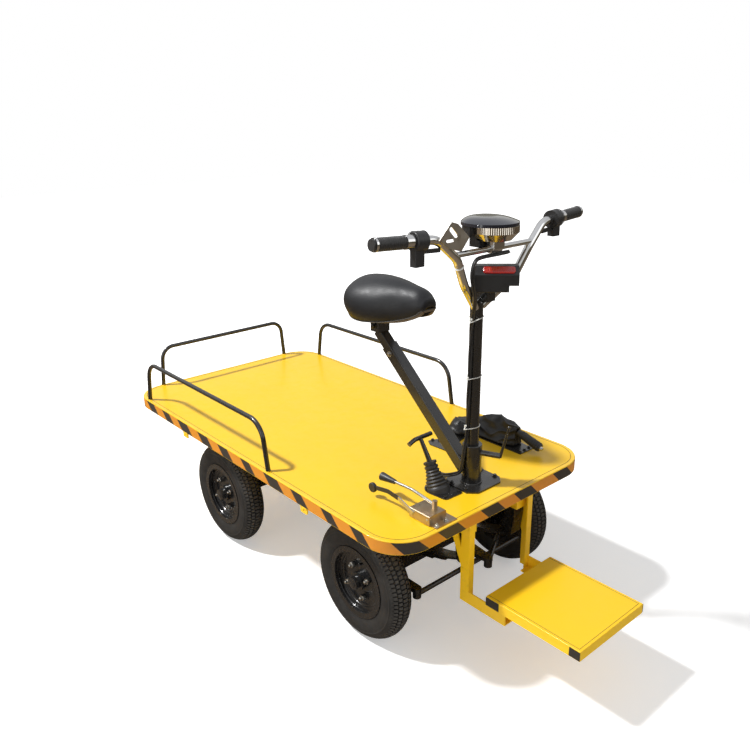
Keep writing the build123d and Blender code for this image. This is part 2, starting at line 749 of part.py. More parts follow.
# Steering knuckles: fork, kingpin, spindle and forward arm
ear_thick = 12.0
ear_gap = 1.0
fork_back = 24.0
fork_plate = 11.0
fork_wide = 46.0
spindle_reach = kingpin_inset + 14.0
ear_low = axle_z - boss_high / 2 - ear_gap - ear_thick
ear_high = axle_z + boss_high / 2 + ear_gap
fork_top = ear_high + ear_thick
for side, name in ((-1, "right"), (1, "left")):
    pin_y = side * kingpin_y
    plate_y = pin_y + side * (fork_back + fork_plate / 2)
    with BuildPart() as knuckle:
        for level in (ear_low, ear_high):
            with BuildSketch(Plane.XY.offset(level)):
                with Locations((front_axle_x, pin_y)):
                    Circle(boss_radius)
                with Locations((front_axle_x, plate_y)):
                    Rectangle(fork_wide, fork_plate)
                make_hull()
            extrude(amount=ear_thick)
        with BuildSketch(Plane.XY.offset(ear_low)):
            with Locations((front_axle_x, plate_y)):
                Rectangle(fork_wide, fork_plate)
        extrude(amount=fork_top - ear_low)
        with BuildSketch(Plane.XY.offset(ear_low - 8.0)):
            with Locations((front_axle_x, pin_y)):
                Circle(kingpin_radius)
        extrude(amount=fork_top - ear_low + 16.0)
        with BuildSketch(Plane(origin=(front_axle_x, plate_y, axle_z), z_dir=(0, side, 0))):
            Circle(spindle_radius)
        extrude(amount=spindle_reach - fork_back - fork_plate / 2)
        with BuildSketch(Plane.XY.offset(axle_z - arm_thick / 2)):
            with Locations((front_axle_x + fork_wide / 2 + 2.0, plate_y - side * 1.0)):
                Circle(11.0)
            with Locations((front_axle_x + pitman_arm, pin_y), (front_axle_x + steer_arm, pin_y)):
                Circle(14.0)
            make_hull()
        extrude(amount=arm_thick)
        with BuildSketch(Plane.XY.offset(axle_z - arm_thick / 2)):
            with Locations((front_axle_x + fork_wide / 2, plate_y)):
                Rectangle(fork_wide / 2, fork_plate)
        extrude(amount=arm_thick)
        with BuildSketch(Plane.XY.offset(tie_z - link_eye_high / 2)):
            with Locations((front_axle_x + steer_arm, pin_y)):
                Circle(joint_pin)
        extrude(amount=arm_thick + link_eye_high)
        if side == 1:
            with BuildSketch(Plane.XY.offset(axle_z)):
                with Locations((front_axle_x + pitman_arm, pin_y)):
                    Circle(joint_pin)
            extrude(amount=drag_z + link_eye_high / 2 - axle_z)
    save(knuckle.part, f"knuckle_{name}")


def link(start, finish, level):
    """A round rod with an upright eye at each end."""
    begin = Vector(start[0], start[1], level)
    end = Vector(finish[0], finish[1], level)
    along = (end - begin).normalized()
    inside = link_eye - 3.0
    with BuildPart() as rod:
        with BuildSketch(Plane(origin=begin + along * inside, z_dir=along)):
            Circle(link_radius)
        extrude(amount=(end - begin).length - 2 * inside)
        with Locations(begin, end):
            Cylinder(link_eye, link_eye_high)
        with Locations(begin, end):
            Cylinder(joint_pin + running_gap, link_eye_high, mode=Mode.SUBTRACT)
    return rod.part


tie_x = front_axle_x + steer_arm
save(link((tie_x, -kingpin_y), (tie_x, kingpin_y), tie_z), "tie_rod")
drag_start = (column_x + pitman_arm, 0)
save(link(drag_start, (front_axle_x + pitman_arm, kingpin_y), drag_z), "drag_link")

# Leaf springs: three leaves, each an arc, with hangers up to the rails
leaf_thick = 6.0
leaf_wide = 45.0
leaf_bend = 508.0
leaf_spans = (220.0, 165.0, 110.0)
spring_seat = 3.0
hanger_wide = 26.0
eye_radius = 12.0


def leaf_spring(axle_x, side, seat_z):
    """A pack of leaves on one axle, its eyes hung from the rail above."""
    plane = Plane(
        origin=(axle_x, side * rail_half_gap + leaf_wide / 2, seat_z), x_dir=(1, 0, 0), z_dir=(0, -1, 0)
    )
    leaves = len(leaf_spans)
    centre_up = leaf_bend + leaves * leaf_thick
    with BuildPart() as pack:
        for place, span in enumerate(leaf_spans):
            outer = centre_up - (leaves - 1 - place) * leaf_thick
            with BuildSketch(plane):
                with Locations((0, centre_up)):
                    Circle(outer)
                    Circle(outer - leaf_thick, mode=Mode.SUBTRACT)
                with Locations((0, centre_up - outer)):
                    Rectangle(2 * span, 160.0, mode=Mode.INTERSECT)
            extrude(amount=leaf_wide)
        drop = centre_up - math.sqrt((leaf_bend + leaf_thick / 2) ** 2 - leaf_spans[0] ** 2)
        for end in (-1, 1):
            with BuildSketch(plane):
                with Locations((end * leaf_spans[0], drop)):
                    Circle(eye_radius)
                with Locations((end * leaf_spans[0], rail_bottom - seat_z - 10.0)):
                    Rectangle(hanger_wide + 14.0, 20.0)
                make_hull()
            extrude(amount=leaf_wide)
    return pack.part


front_seat_z = axle_z + beam_high / 2 + spring_pad
axle_tube = 27.0
rear_seat_z = axle_z + axle_tube + spring_seat
spring_places = (
    (front_axle_x, -1, front_seat_z),
    (front_axle_x, 1, front_seat_z),
    (rear_axle_x, -1, rear_seat_z),
    (rear_axle_x, 1, rear_seat_z),
)
save(Compound([leaf_spring(*place) for place in spring_places]), "leaf_springs")

# Rear axle: tube, geared middle case, spring seats and brake back plates
rear_half = rear_track / 2
tube_reach = rear_half - 58.0
brake_radius = 74.0
brake_thick = 8.0
case_radius = 74.0
case_half = 40.0
case_side = 44.0
motor_ahead = 138.0
motor_up = 26.0
motor_radius = 66.0
motor_long = 88.0
with BuildPart() as rear_axle:
    with Locations((rear_axle_x, 0, axle_z)):
        Cylinder(axle_tube, 2 * tube_reach, rotation=(90, 0, 0))
        Cylinder(spindle_radius, 2 * (rear_half + 14.0), rotation=(90, 0, 0))
    for side in (-1, 1):
        with Locations((rear_axle_x, side * (tube_reach - brake_thick / 2), axle_z)):
            Cylinder(brake_radius, brake_thick, rotation=(90, 0, 0))
        with Locations((rear_axle_x, side * rail_half_gap, axle_z + axle_tube / 2 + spring_seat / 2)):
            Box(60.0, leaf_wide, axle_tube + spring_seat)
    case_plane = Plane(origin=(rear_axle_x, case_side + case_half, axle_z), x_dir=(1, 0, 0), z_dir=(0, -1, 0))
    with BuildSketch(case_plane):
        Circle(case_radius)
        with Locations((motor_ahead, motor_up)):
            Circle(case_radius * 0.62)
        make_hull()
    extrude(amount=2 * case_half)
save(rear_axle.part, "rear_axle")

motor_start = case_side - case_half - seat_gap
motor_plane = Plane(
    origin=(rear_axle_x + motor_ahead, motor_start, axle_z + motor_up), x_dir=(1, 0, 0), z_dir=(0, -1, 0)
)
with BuildPart() as drive_motor:
    with BuildSketch(motor_plane):
        Circle(motor_radius)
    extrude(amount=motor_long)
    fillet(drive_motor.edges(), 4.0)
save(drive_motor.part, "drive_motor")

# Battery box between the axles, hung under the cross members
battery_half = rail_half_gap - rail_wide / 2 - 4.0
battery_rear = rear_axle_x + 300.0
battery_front = front_axle_x - 110.0
battery_bottom = 205.0
with BuildPart() as battery_box:
    with BuildSketch(Plane.XY.offset(battery_bottom)):
        with Locations(((battery_rear + battery_front) / 2, 0)):
            RectangleRounded(battery_front - battery_rear, 2 * battery_half, 12.0)
    extrude(amount=rail_top - battery_bottom)
save(battery_box.part, "battery_box")

# Wheels: pressed rim with hub, and tyre, each a turned body
disc_offset = 22.0
disc_thick = 5.0
barrel_radius = 84.0
hub_inner = 34.0
hub_outer = 30.0
cap_radius = 20.0
cap_high = 16.0
nut_radius = 9.0
nut_high = 17.0
lug_phase = 27.0
half_rim = rim_width / 2
wheel_places = (
    ("front_right", front_axle_x, -front_track / 2),
    ("front_left", front_axle_x, front_track / 2),
    ("rear_right", rear_axle_x, -rear_half),
    ("rear_left", rear_axle_x, rear_half),
)
for name, wheel_x, wheel_y in wheel_places:
    out = 1 if wheel_y > 0 else -1
    turned = Plane(origin=(wheel_x, wheel_y, axle_z), x_dir=(1, 0, 0), z_dir=(0, 0, 1))
    spin = Axis((wheel_x, wheel_y, axle_z), (0, 1, 0))
    with BuildPart() as rim:
        with BuildSketch(turned):
            with BuildLine():
                Polyline(
                    (rim_radius, -half_rim),
                    (rim_radius, -half_rim + rim_sheet),
                    (bead_radius, -half_rim + rim_sheet),
                    (bead_radius - 2.0, -18.0),
                    (barrel_radius, -12.0),
                    (barrel_radius, 12.0),
                    (bead_radius - 2.0, 18.0),
                    (bead_radius, half_rim - rim_sheet),
                    (rim_radius, half_rim - rim_sheet),
                    (rim_radius, half_rim),
                    (bead_radius - rim_sheet, half_rim),
                    (bead_radius - 2.0 - rim_sheet, 18.0 + 1.6),
                    (barrel_radius - rim_sheet, 12.0 + 1.6),
                    (barrel_radius - rim_sheet, -12.0 - 1.6),
                    (bead_radius - 2.0 - rim_sheet, -18.0 - 1.6),
                    (bead_radius - rim_sheet, -half_rim),
                    close=True,
                )
            make_face()
        revolve(axis=spin)
        with BuildSketch(turned):
            with Locations((barrel_radius / 2, out * disc_offset / 2)):
                Rectangle(barrel_radius - 2.0, disc_thick)
            with Locations((hub_radius / 2, out * (hub_outer - hub_inner) / 2)):
                Rectangle(hub_radius, hub_outer + hub_inner)
            with Locations((cap_radius / 2, out * (hub_outer + cap_high / 2))):
                Rectangle(cap_radius, cap_high)
        revolve(axis=spin)
        outer_face = Plane(
            origin=(wheel_x, wheel_y + out * (disc_offset / 2 + disc_thick / 2), axle_z), z_dir=(0, out, 0)
        )
        with BuildSketch(outer_face):
            with PolarLocations(lug_circle / 2, 4, start_angle=lug_phase):
                RegularPolygon(nut_radius, 6)
        extrude(amount=nut_high)
        with BuildSketch(turned):
            with Locations(((spindle_radius + running_gap) / 2, out * (15.0 - hub_inner) / 2)):
                Rectangle(spindle_radius + running_gap, 15.0 + hub_inner)
        revolve(axis=spin, mode=Mode.SUBTRACT)
    save(rim.part, f"rim_{name}")
    with BuildPart() as tyre:
        with BuildSketch(turned):
            with BuildLine():
                bead = half_rim - rim_sheet - seat_gap
                waist = tyre_width / 2
                Line((bead_radius + seat_gap, -bead), (bead_radius + seat_gap, bead))
                Line((bead_radius + seat_gap, bead), (rim_radius, bead))
                ThreePointArc((rim_radius, bead), (146.0, waist), (172.0, waist - 6.0))
                ThreePointArc((172.0, waist - 6.0), (tyre_radius, 0), (172.0, 6.0 - waist))
                ThreePointArc((172.0, 6.0 - waist), (146.0, -waist), (rim_radius, -bead))
                Line((rim_radius, -bead), (bead_radius + seat_gap, -bead))
            make_face()
        revolve(axis=spin)
    save(tyre.part, f"tyre_{name}")

# Gear lever right of the column: floor flange, ribbed boot, leaning stem and a drooping bar
gear_x = column_x - 38.0
gear_y = -107.0
gear_flange = 3.0
gear_flange_radius = 40.0
gear_ear_radius = 12.0
gear_bolt = 3.5
gear_bolts = ((55.0, -23.0), (57.0, 28.0))
boot_lean = math.radians(65.0)
boot_sink = 26.0
boot_profile = (
    # radius, distance along the leaning axis
    (37.0, 0.0),
    (35.0, 5.0),
    (31.5, 10.0),
    (34.0, 15.0),
    (28.5, 20.0),
    (31.0, 25.0),
    (25.0, 30.0),
    (27.5, 35.0),
    (22.0, 40.0),
    (24.5, 45.0),
    (19.5, 50.0),
    (22.0, 55.0),
    (18.0, 60.0),
    (21.0, 64.0),
    (21.0, 70.0),
    (17.0, 71.5),
    (17.0, 76.0),
    (20.5, 77.5),
    (20.5, 84.0),
)
stem_low = 8.0
stem_high = 6.0
gear_bar = 7.0
gear_bar_path = ((0.0, 46.0, 0.0), (0.0, -24.0, -1.0), (2.0, -48.0, -9.0))
gear_floor = deck_top + gear_flange
with BuildPart() as gear_base:
    with BuildSketch(Plane.XY.offset(deck_top)):
        with Locations((gear_x, gear_y)):
            Circle(gear_flange_radius)
        with Locations(*[(gear_x + across, gear_y + out) for across, out in gear_bolts]):
            Circle(gear_ear_radius)
        make_hull()
        with Locations(*[(gear_x + across, gear_y + out) for across, out in gear_bolts]):
            Circle(gear_bolt, mode=Mode.SUBTRACT)
    extrude(amount=gear_flange)
save(gear_base.part, "gear_base")
boot_axis = Vector(-math.cos(boot_lean), 0, math.sin(boot_lean))
boot_start = Vector(gear_x, gear_y, gear_floor)
boot_plane = Plane(origin=boot_start, x_dir=(math.sin(boot_lean), 0, math.cos(boot_lean)), z_dir=(0, -1, 0))
boot_top = boot_profile[-1][1]
with BuildPart() as gear_boot:
    with BuildSketch(boot_plane):
        Polygon(
            (0, -boot_sink),
            (boot_profile[0][0], -boot_sink),
            *boot_profile,
            (0, boot_top),
            align=None,
        )
    revolve(axis=Axis(boot_start, boot_axis))
    split(bisect_by=Plane.XY.offset(gear_floor), keep=Keep.TOP)
save(gear_boot.part, "gear_boot")
stem_start = boot_start + boot_axis * (boot_top + seat_gap)
bar_mid = Vector(column_x - 108.0, gear_y - 7.0, deck_top + 149.0)
stem_dir = (bar_mid - stem_start).normalized()
with BuildPart() as gear_lever:
    with BuildSketch(Plane(origin=stem_start, z_dir=stem_dir)):
        Circle(stem_low)
    with BuildSketch(Plane(origin=bar_mid, z_dir=stem_dir)):
        Circle(stem_high)
    loft()
    with BuildLine():
        bar_curve = FilletPolyline(*[bar_mid + Vector(*step) for step in gear_bar_path], radius=60.0)
    with BuildSketch(Plane(origin=bar_curve @ 0, z_dir=bar_curve % 0)):
        Circle(gear_bar)
    sweep()
    split(bisect_by=Plane(origin=stem_start, z_dir=boot_axis), keep=Keep.TOP)
save(gear_lever.part, "gear_lever")

# Cable control: plated box on a floor plate, with two hand levers
control_x = deck_front - 71.0
control_y = -248.0
control_long = 80.0
control_wide = 66.0
control_high = 30.0
control_plate = 3.0
plate_front = deck_front - 9.0
plate_wide = 82.0
plate_shift = 14.0
plate_hole = 3.5
plate_holes = ((deck_front - 18.0, -265.0), (deck_front - 22.0, -226.0))
control_pin_x = 16.0
control_pin_y = 12.0
pin_radius = 8.0
pin_high = 26.0
with BuildPart() as cable_control:
    with Locations((control_x, control_y, deck_top + control_high / 2)):
        Box(control_long, control_wide, control_high)
    fillet(cable_control.edges().filter_by(Axis.X), 4.0)
    with BuildSketch(Plane.XY.offset(deck_top)):
        with Locations(((control_x + plate_front) / 2, control_y + plate_shift)):
            Rectangle(plate_front - control_x, plate_wide)
        with Locations(*plate_holes):
            Circle(plate_hole, mode=Mode.SUBTRACT)
    extrude(amount=control_plate)
    with BuildSketch(Plane.XY.offset(deck_top + control_high)):
        with Locations((control_x + control_pin_x, control_y + control_pin_y)):
            RegularPolygon(pin_radius, 6)
    extrude(amount=pin_high)
save(cable_control.part, "cable_control")
blade_thick = 4.0
blade_wide = 12.0
knob_radius = 15.0
knob_thick = 11.0
rod_radius = 4.5
cone_small = 7.0
cone_large = 13.0
cone_long = 56.0
box_side = control_y - control_wide / 2 - seat_gap
blade_path = (
    # along X behind the deck's front, above the deck
    (-93.0, 18.0),
    (-151.0, 40.0),
    (-198.0, 45.0),
    (-255.0, 35.0),
)
blade_plane = Plane(origin=(deck_front, box_side, deck_top), x_dir=(1, 0, 0), z_dir=(0, -1, 0))
knob_x = deck_front + blade_path[-1][0] - knob_radius + knob_thick / 2
knob_z = deck_top + blade_path[-1][1] - 3.0
pin_side = control_x + control_pin_x - pin_radius - seat_gap
rod_path = (
    # along X, across, above the deck
    (pin_side, control_y + control_pin_y, 44.0),
    (deck_front - 108.0, control_y + 6.0, 55.0),
    (deck_front - 136.0, control_y + 2.0, 62.0),
    (deck_front - 205.0, control_y, 60.0),
)
with BuildPart() as control_levers:
    with Locations((knob_x, box_side - blade_thick / 2, knob_z)):
        Cylinder(knob_radius, knob_thick, rotation=(90, 0, 0))
    fillet(control_levers.edges().filter_by(GeomType.CIRCLE), 3.0)
    with BuildSketch(blade_plane):
        with BuildLine():
            FilletPolyline(*blade_path, radius=40.0)
        trace(line_width=blade_wide)
    extrude(amount=blade_thick)
    with BuildLine():
        rod_line = FilletPolyline(*[Vector(x, y, deck_top + z) for x, y, z in rod_path], radius=30.0)
    with BuildSketch(Plane(origin=rod_line @ 0, z_dir=rod_line % 0)):
        Circle(rod_radius)
    sweep()
    with BuildSketch(Plane(origin=rod_line @ 1, z_dir=rod_line % 1)):
        Circle(cone_small)
    with BuildSketch(Plane(origin=rod_line @ 1, z_dir=rod_line % 1).offset(cone_long)):
        Circle(cone_large)
    loft()
save(control_levers.part, "control_levers")

# Handbrake left of the strut: base plate with a tongue, leather boot and a ribbed grip
brake_back = 224.0
brake_x = deck_front - brake_back
brake_y = 310.0
brake_plate = 3.0
brake_outline = (
    # behind the grip's root, across
    (72.0, 262.0),
    (72.0, 330.0),
    (-190.0, 352.0),
    (-262.0, 338.0),
    (-262.0, 282.0),
    (-196.0, 151.0),
    (-209.0, 113.0),
    (-184.0, 96.0),
    (-111.0, 101.0),
    (-150.0, 262.0),
)
brake_hole = 3.5
brake_holes = ((62.0, 274.0), (62.0, 296.0), (60.0, 322.0), (-201.0, 127.0), (-183.0, 141.0))
brake_sections = (
    # behind the grip's root, half width at the ridge, half width at the base, ridge height
    (-270.0, 8.0, 18.0, 9.0),
    (-215.0, 14.0, 38.0, 38.0),
    (-144.0, 16.0, 44.0, 57.0),
    (-77.0, 18.0, 45.0, 84.0),
    (-20.0, 18.0, 43.0, 81.0),
    (24.0, 17.0, 22.0, 66.0),
)
grip_run = (24.2, 51.0)
grip_droop = Vector(0.956, 0, -0.292)
grip_start_radius = 11.0
brake_grip_radius = 14.0
brake_grip_long = 96.0
button_radius = 6.0
button_long = 6.0
lump_sections = (
    # across, half length, height
    (287.0, 52.0, 50.0),
    (250.0, 46.0, 44.0),
    (216.0, 16.0, 14.0),
)
lump_back = -200.0
with BuildPart() as handbrake_base:
    with BuildSketch(Plane.XY.offset(deck_top)):
        Polygon(*[(brake_x + back, across) for back, across in brake_outline], align=None)
        with Locations(*[(brake_x + back, across) for back, across in brake_holes]):
            Circle(brake_hole, mode=Mode.SUBTRACT)
    extrude(amount=brake_plate)
save(handbrake_base.part, "handbrake_base")
brake_floor = deck_top + brake_plate
with BuildPart() as handbrake_boot:
    for back, ridge, base, high in brake_sections:
        section = Plane(origin=(brake_x + back, brake_y, brake_floor), x_dir=(0, 1, 0), z_dir=(1, 0, 0))
        with BuildSketch(section):
            with BuildLine():
                Line((-base, 0), (base, 0))
                Line((base, 0), (ridge, 0.8 * high))
                ThreePointArc((ridge, 0.8 * high), (0, high), (-ridge, 0.8 * high))
                Line((-ridge, 0.8 * high), (-base, 0))
            make_face()
    loft(ruled=True)
    for across, half, high in lump_sections:
        section = Plane(origin=(brake_x + lump_back, across, brake_floor), x_dir=(1, 0, 0), z_dir=(0, -1, 0))
        with BuildSketch(section):
            with BuildLine():
                Line((-half, 0), (half, 0))
                ThreePointArc((half, 0), (0, high), (-half, 0))
            make_face()
    loft(ruled=True)
save(handbrake_boot.part, "handbrake_boot")
with BuildPart() as handbrake_grip:
    grip_begin = Vector(brake_x + grip_run[0], brake_y, deck_top + grip_run[1])
    with BuildSketch(Plane(origin=grip_begin, z_dir=grip_droop)):
        Circle(grip_start_radius)
    with BuildSketch(Plane(origin=grip_begin + grip_droop * (0.3 * brake_grip_long), z_dir=grip_droop)):
        Circle(brake_grip_radius)
    loft()
    with BuildSketch(Plane(origin=grip_begin + grip_droop * (0.3 * brake_grip_long), z_dir=grip_droop)):
        Circle(brake_grip_radius)
    extrude(amount=0.7 * brake_grip_long)
    fillet(handbrake_grip.faces().sort_by(Axis.X)[-1].edges(), 3.0)
    with BuildSketch(Plane(origin=grip_begin + grip_droop * brake_grip_long, z_dir=grip_droop)):
        Circle(button_radius)
    extrude(amount=button_long)
    split(bisect_by=Plane.YZ.offset(brake_x + grip_run[0]), keep=Keep.TOP)
save(handbrake_grip.part, "handbrake_grip")

# Cable looms: one down the bar and column, one from the column's foot into the deck
loom_radius = 6.0
loom_side = column_radius + loom_radius + running_gap
loom_foot = sleeve_height + 16.0
loom_level = cross_bar_z - bracket_ring - running_gap - loom_radius - deck_top
upper_route = (
    # forward of the column, across, above the deck
    (57.0, 60.0, loom_level),
    (57.0, -72.0, loom_level),
    (60.0, -96.0, 668.0),
    (50.0, -62.0, 600.0),
    (8.0, -loom_side - 4.0, 505.0),
    (0.0, -loom_side, loom_foot),
)
upper_bends = (26.0, 60.0, 60.0, 120.0)
lower_route = (
    (0.0, -sleeve_radius - loom_radius - running_gap, loom_foot - 6.0),
    (-6.0, -sleeve_radius - loom_radius - 2 * running_gap, 40.0),
    (-70.0, -46.0, loom_radius + base_thick + running_gap),
    (-116.0, -40.0, loom_radius + running_gap),
)
lower_bends = (40.0, 40.0)
loom_rows = (
    ("column_loom", upper_route, upper_bends),
    ("deck_loom", lower_route, lower_bends),
)
for name, route, bends in loom_rows:
    with BuildPart() as loom:
        with BuildLine():
            stops = [Vector(column_x + f, across, deck_top + up) for f, across, up in route]
            route_line = FilletPolyline(*stops, radius=list(bends))
        with BuildSketch(Plane(origin=route_line @ 0, z_dir=route_line % 0)):
            Circle(loom_radius)
        sweep()
    save(loom.part, name)
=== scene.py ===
import json
import random
from math import acos, asin, atan2, cos, hypot, pi, radians, sin, sqrt, tan, tau

import bmesh
import bpy
from mathutils import Matrix, Vector, noise


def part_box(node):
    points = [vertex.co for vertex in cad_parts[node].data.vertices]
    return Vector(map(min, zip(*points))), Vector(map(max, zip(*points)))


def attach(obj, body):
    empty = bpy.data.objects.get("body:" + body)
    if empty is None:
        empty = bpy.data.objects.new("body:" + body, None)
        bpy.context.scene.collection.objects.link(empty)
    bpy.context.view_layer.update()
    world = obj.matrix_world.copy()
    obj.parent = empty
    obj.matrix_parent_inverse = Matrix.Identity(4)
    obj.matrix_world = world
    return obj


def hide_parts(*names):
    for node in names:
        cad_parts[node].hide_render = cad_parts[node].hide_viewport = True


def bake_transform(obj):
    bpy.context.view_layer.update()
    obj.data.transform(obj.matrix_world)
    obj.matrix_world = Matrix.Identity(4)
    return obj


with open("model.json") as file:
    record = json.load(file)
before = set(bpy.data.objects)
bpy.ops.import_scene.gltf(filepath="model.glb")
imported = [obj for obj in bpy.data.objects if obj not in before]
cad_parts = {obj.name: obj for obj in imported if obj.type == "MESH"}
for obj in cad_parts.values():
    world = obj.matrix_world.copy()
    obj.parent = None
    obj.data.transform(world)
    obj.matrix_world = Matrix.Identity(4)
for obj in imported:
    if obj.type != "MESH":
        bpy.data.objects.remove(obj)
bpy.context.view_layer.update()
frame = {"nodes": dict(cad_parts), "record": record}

nodes = frame["nodes"]
UP = Vector((0, 0, 1))

# Camera place and aim, solved from the photograph's straight edges
CAMERA_PLACE = (1.845, -1.558, 1.545)
CAMERA_YAW = radians(139.38)
CAMERA_PITCH = radians(19.64)
CAMERA_ROLL = radians(-0.87)
CAMERA_LENS_MM = 35.96
CAMERA_SENSOR_MM = 36.0

# Places of the CAD frame, metres
DECK_REAR, DECK_FRONT, DECK_HALF, DECK_TOP = -0.994, 0.606, 0.4325, 0.458
DECK_CORNER = 0.118
RIM_HIGH = 0.040
COLUMN_X = 0.474
FRONT_AXLE_X, REAR_AXLE_X, AXLE_Z = 0.335, -0.428, 0.190
RAIL_Y = 0.112
GEAR_X, GEAR_Y = 0.436, -0.107
LAMP_X = 0.530
WHEELS = (
    ("front_right", FRONT_AXLE_X, -0.320),
    ("front_left", FRONT_AXLE_X, 0.320),
    ("rear_right", REAR_AXLE_X, -0.336),
    ("rear_left", REAR_AXLE_X, 0.336),
)

# Colours, linear
YELLOW = (0.93, 0.560, 0.008)
TAPE_ORANGE = (0.66, 0.235, 0.004)
TAPE_BLACK = (0.034, 0.028, 0.022)
BLACK_PAINT = (0.010, 0.0095, 0.009)
WHEEL_PAINT = (0.010, 0.010, 0.0105)
RUBBER = (0.0135, 0.0125, 0.0115)


# Materials, kept by name as they are made
MATERIALS = {}
SOCKETS = {
    "color": "Base Color",
    "rough": "Roughness",
    "metal": "Metallic",
    "normal": "Normal",
    "coat": "Coat Weight",
    "coat_rough": "Coat Roughness",
    "sheen": "Sheen Weight",
    "specular": "Specular IOR Level",
}


class Nodes:
    """A new material's node tree, with short calls to add and feed its nodes."""

    def __init__(self, name):
        self.material = MATERIALS[name] = bpy.data.materials.new(name)
        self.material.use_nodes = True
        self.tree = self.material.node_tree
        self.shader = self.tree.nodes["Principled BSDF"]
        self.place = self.add("ShaderNodeTexCoord").outputs["Object"]

    def feed(self, value, socket):
        """A number, a vector, a colour or another node's output goes into a socket."""
        if isinstance(value, bpy.types.NodeSocket):
            self.tree.links.new(value, socket)
        else:
            socket.default_value = (*value, 1.0) if socket.type == "RGBA" else value

    def add(self, kind, feeds=None, **settings):
        node = self.tree.nodes.new(kind)
        for key, value in settings.items():
            setattr(node, key, value)
        for key, value in (feeds or {}).items():
            self.feed(value, node.inputs[key])
        return node

    def noise(self, scale, detail=3.0, rough=0.55, source=None):
        feeds = {"Scale": scale, "Detail": detail, "Roughness": rough, "Vector": source or self.place}
        return self.add("ShaderNodeTexNoise", feeds).outputs["Fac"]

    def cells(self, scale):
        feeds = {"Scale": scale, "Vector": self.place}
        return self.add("ShaderNodeTexVoronoi", feeds).outputs["Distance"]

    def stretched(self, x, y, z):
        feeds = {"Scale": (x, y, z), "Vector": self.place}
        return self.add("ShaderNodeMapping", feeds).outputs["Vector"]

    def ramp(self, source, low, high, first=0.0, last=1.0):
        feeds = {"Value": source, "From Min": low, "From Max": high, "To Min": first, "To Max": last}
        return self.add("ShaderNodeMapRange", feeds).outputs["Result"]

    def times(self, first, second):
        return self.add("ShaderNodeMath", {0: first, 1: second}, operation="MULTIPLY").outputs["Value"]

    def mix(self, share, first, second):
        feeds = {"Factor": share, 6: first, 7: second}
        return self.add("ShaderNodeMix", feeds, data_type="RGBA").outputs[2]

    def up(self):
        """The share of the surface that faces up, 0 to 1."""
        feeds = {"Vector": self.add("ShaderNodeNewGeometry").outputs["Normal"]}
        return self.ramp(self.add("ShaderNodeSeparateXYZ", feeds).outputs["Z"], 0.2, 0.95)

    def bump(self, height, distance, strength=1.0, before=None):
        feeds = {"Distance": distance, "Strength": strength, "Height": height}
        if before is not None:
            feeds["Normal"] = before
        return self.add("ShaderNodeBump", feeds).outputs["Normal"]

    def set(self, **values):
        for key, value in values.items():
            self.feed(value, self.shader.inputs[SOCKETS[key]])


def paint(name, color, rough, dust, dust_color, coat=0.4, grime=0.0):
    """Gloss paint with orange peel, a little dust on its upper faces and grime in patches."""
    n = Nodes(name)
    patches = n.times(n.ramp(n.noise(5.0, 6.0, 0.62), 0.42, 0.78), dust)
    shade = n.mix(n.times(patches, n.up()), color, dust_color)
    if grime > 0:
        spots = n.times(n.ramp(n.noise(38.0, 6.0, 0.7), 0.56, 0.7), grime)
        shade = n.mix(spots, shade, tuple(0.35 * c for c in color))
    scuffs = n.ramp(n.noise(22.0, 6.0, 0.7), 0.35, 0.75, rough - 0.06, rough + 0.14)
    peel = n.bump(n.noise(260.0, 2.0), 0.00006)
    n.set(color=shade, rough=scuffs, coat=coat, coat_rough=0.1, normal=peel)


def metal(name, color, rough, grain=0.0, tint=None):
    """Bare or plated metal, brushed along X where grain is set, with a plating tint in patches."""
    n = Nodes(name)
    shade = color if tint is None else n.mix(n.ramp(n.noise(26.0, 4.0), 0.35, 0.68), color, tint)
    scuffs = n.ramp(n.noise(34.0, 5.0, 0.65), 0.3, 0.75, rough * 0.7, rough * 1.5)
    n.set(metal=1.0, color=shade, rough=scuffs)
    if grain > 0:
        n.set(normal=n.bump(n.noise(1.0, 3.0, 0.6, n.stretched(30.0, 900.0, 900.0)), grain))


def plastic(name, color, rough, texture=0.00003, scale=900.0, coat=0.0, sheen=0.0):
    """Moulded plastic, nylon or rubber with a fine grain and slight dust."""
    n = Nodes(name)
    dusty = tuple(min(1.0, 1.3 * c + 0.012) for c in color)
    shade = n.mix(n.times(n.ramp(n.noise(24.0, 5.0), 0.4, 0.75), n.up()), color, dusty)
    grain = n.bump(n.noise(scale, 3.0), texture)
    scuffs = n.ramp(n.noise(40.0, 4.0), 0.3, 0.7, rough - 0.05, rough + 0.08)
    n.set(color=shade, rough=scuffs, coat=coat, sheen=sheen, normal=grain)


def leather(name, color, rough, cell=420.0):
    """Vinyl or leather: fine pebbled cells over soft large unevenness."""
    n = Nodes(name)
    cells = n.bump(n.ramp(n.cells(cell), 0.0, 0.5), 0.00022, 0.7)
    uneven = n.bump(n.noise(30.0, 3.0), 0.0008, 0.6, before=cells)
    worn = tuple(1.4 * c + 0.0015 for c in color)
    shade = n.mix(n.ramp(n.noise(9.0, 4.0), 0.35, 0.75), color, worn)
    scuffs = n.ramp(n.noise(50.0, 4.0), 0.3, 0.7, rough - 0.05, rough + 0.07)
    n.set(color=shade, rough=scuffs, specular=0.45, normal=uneven)


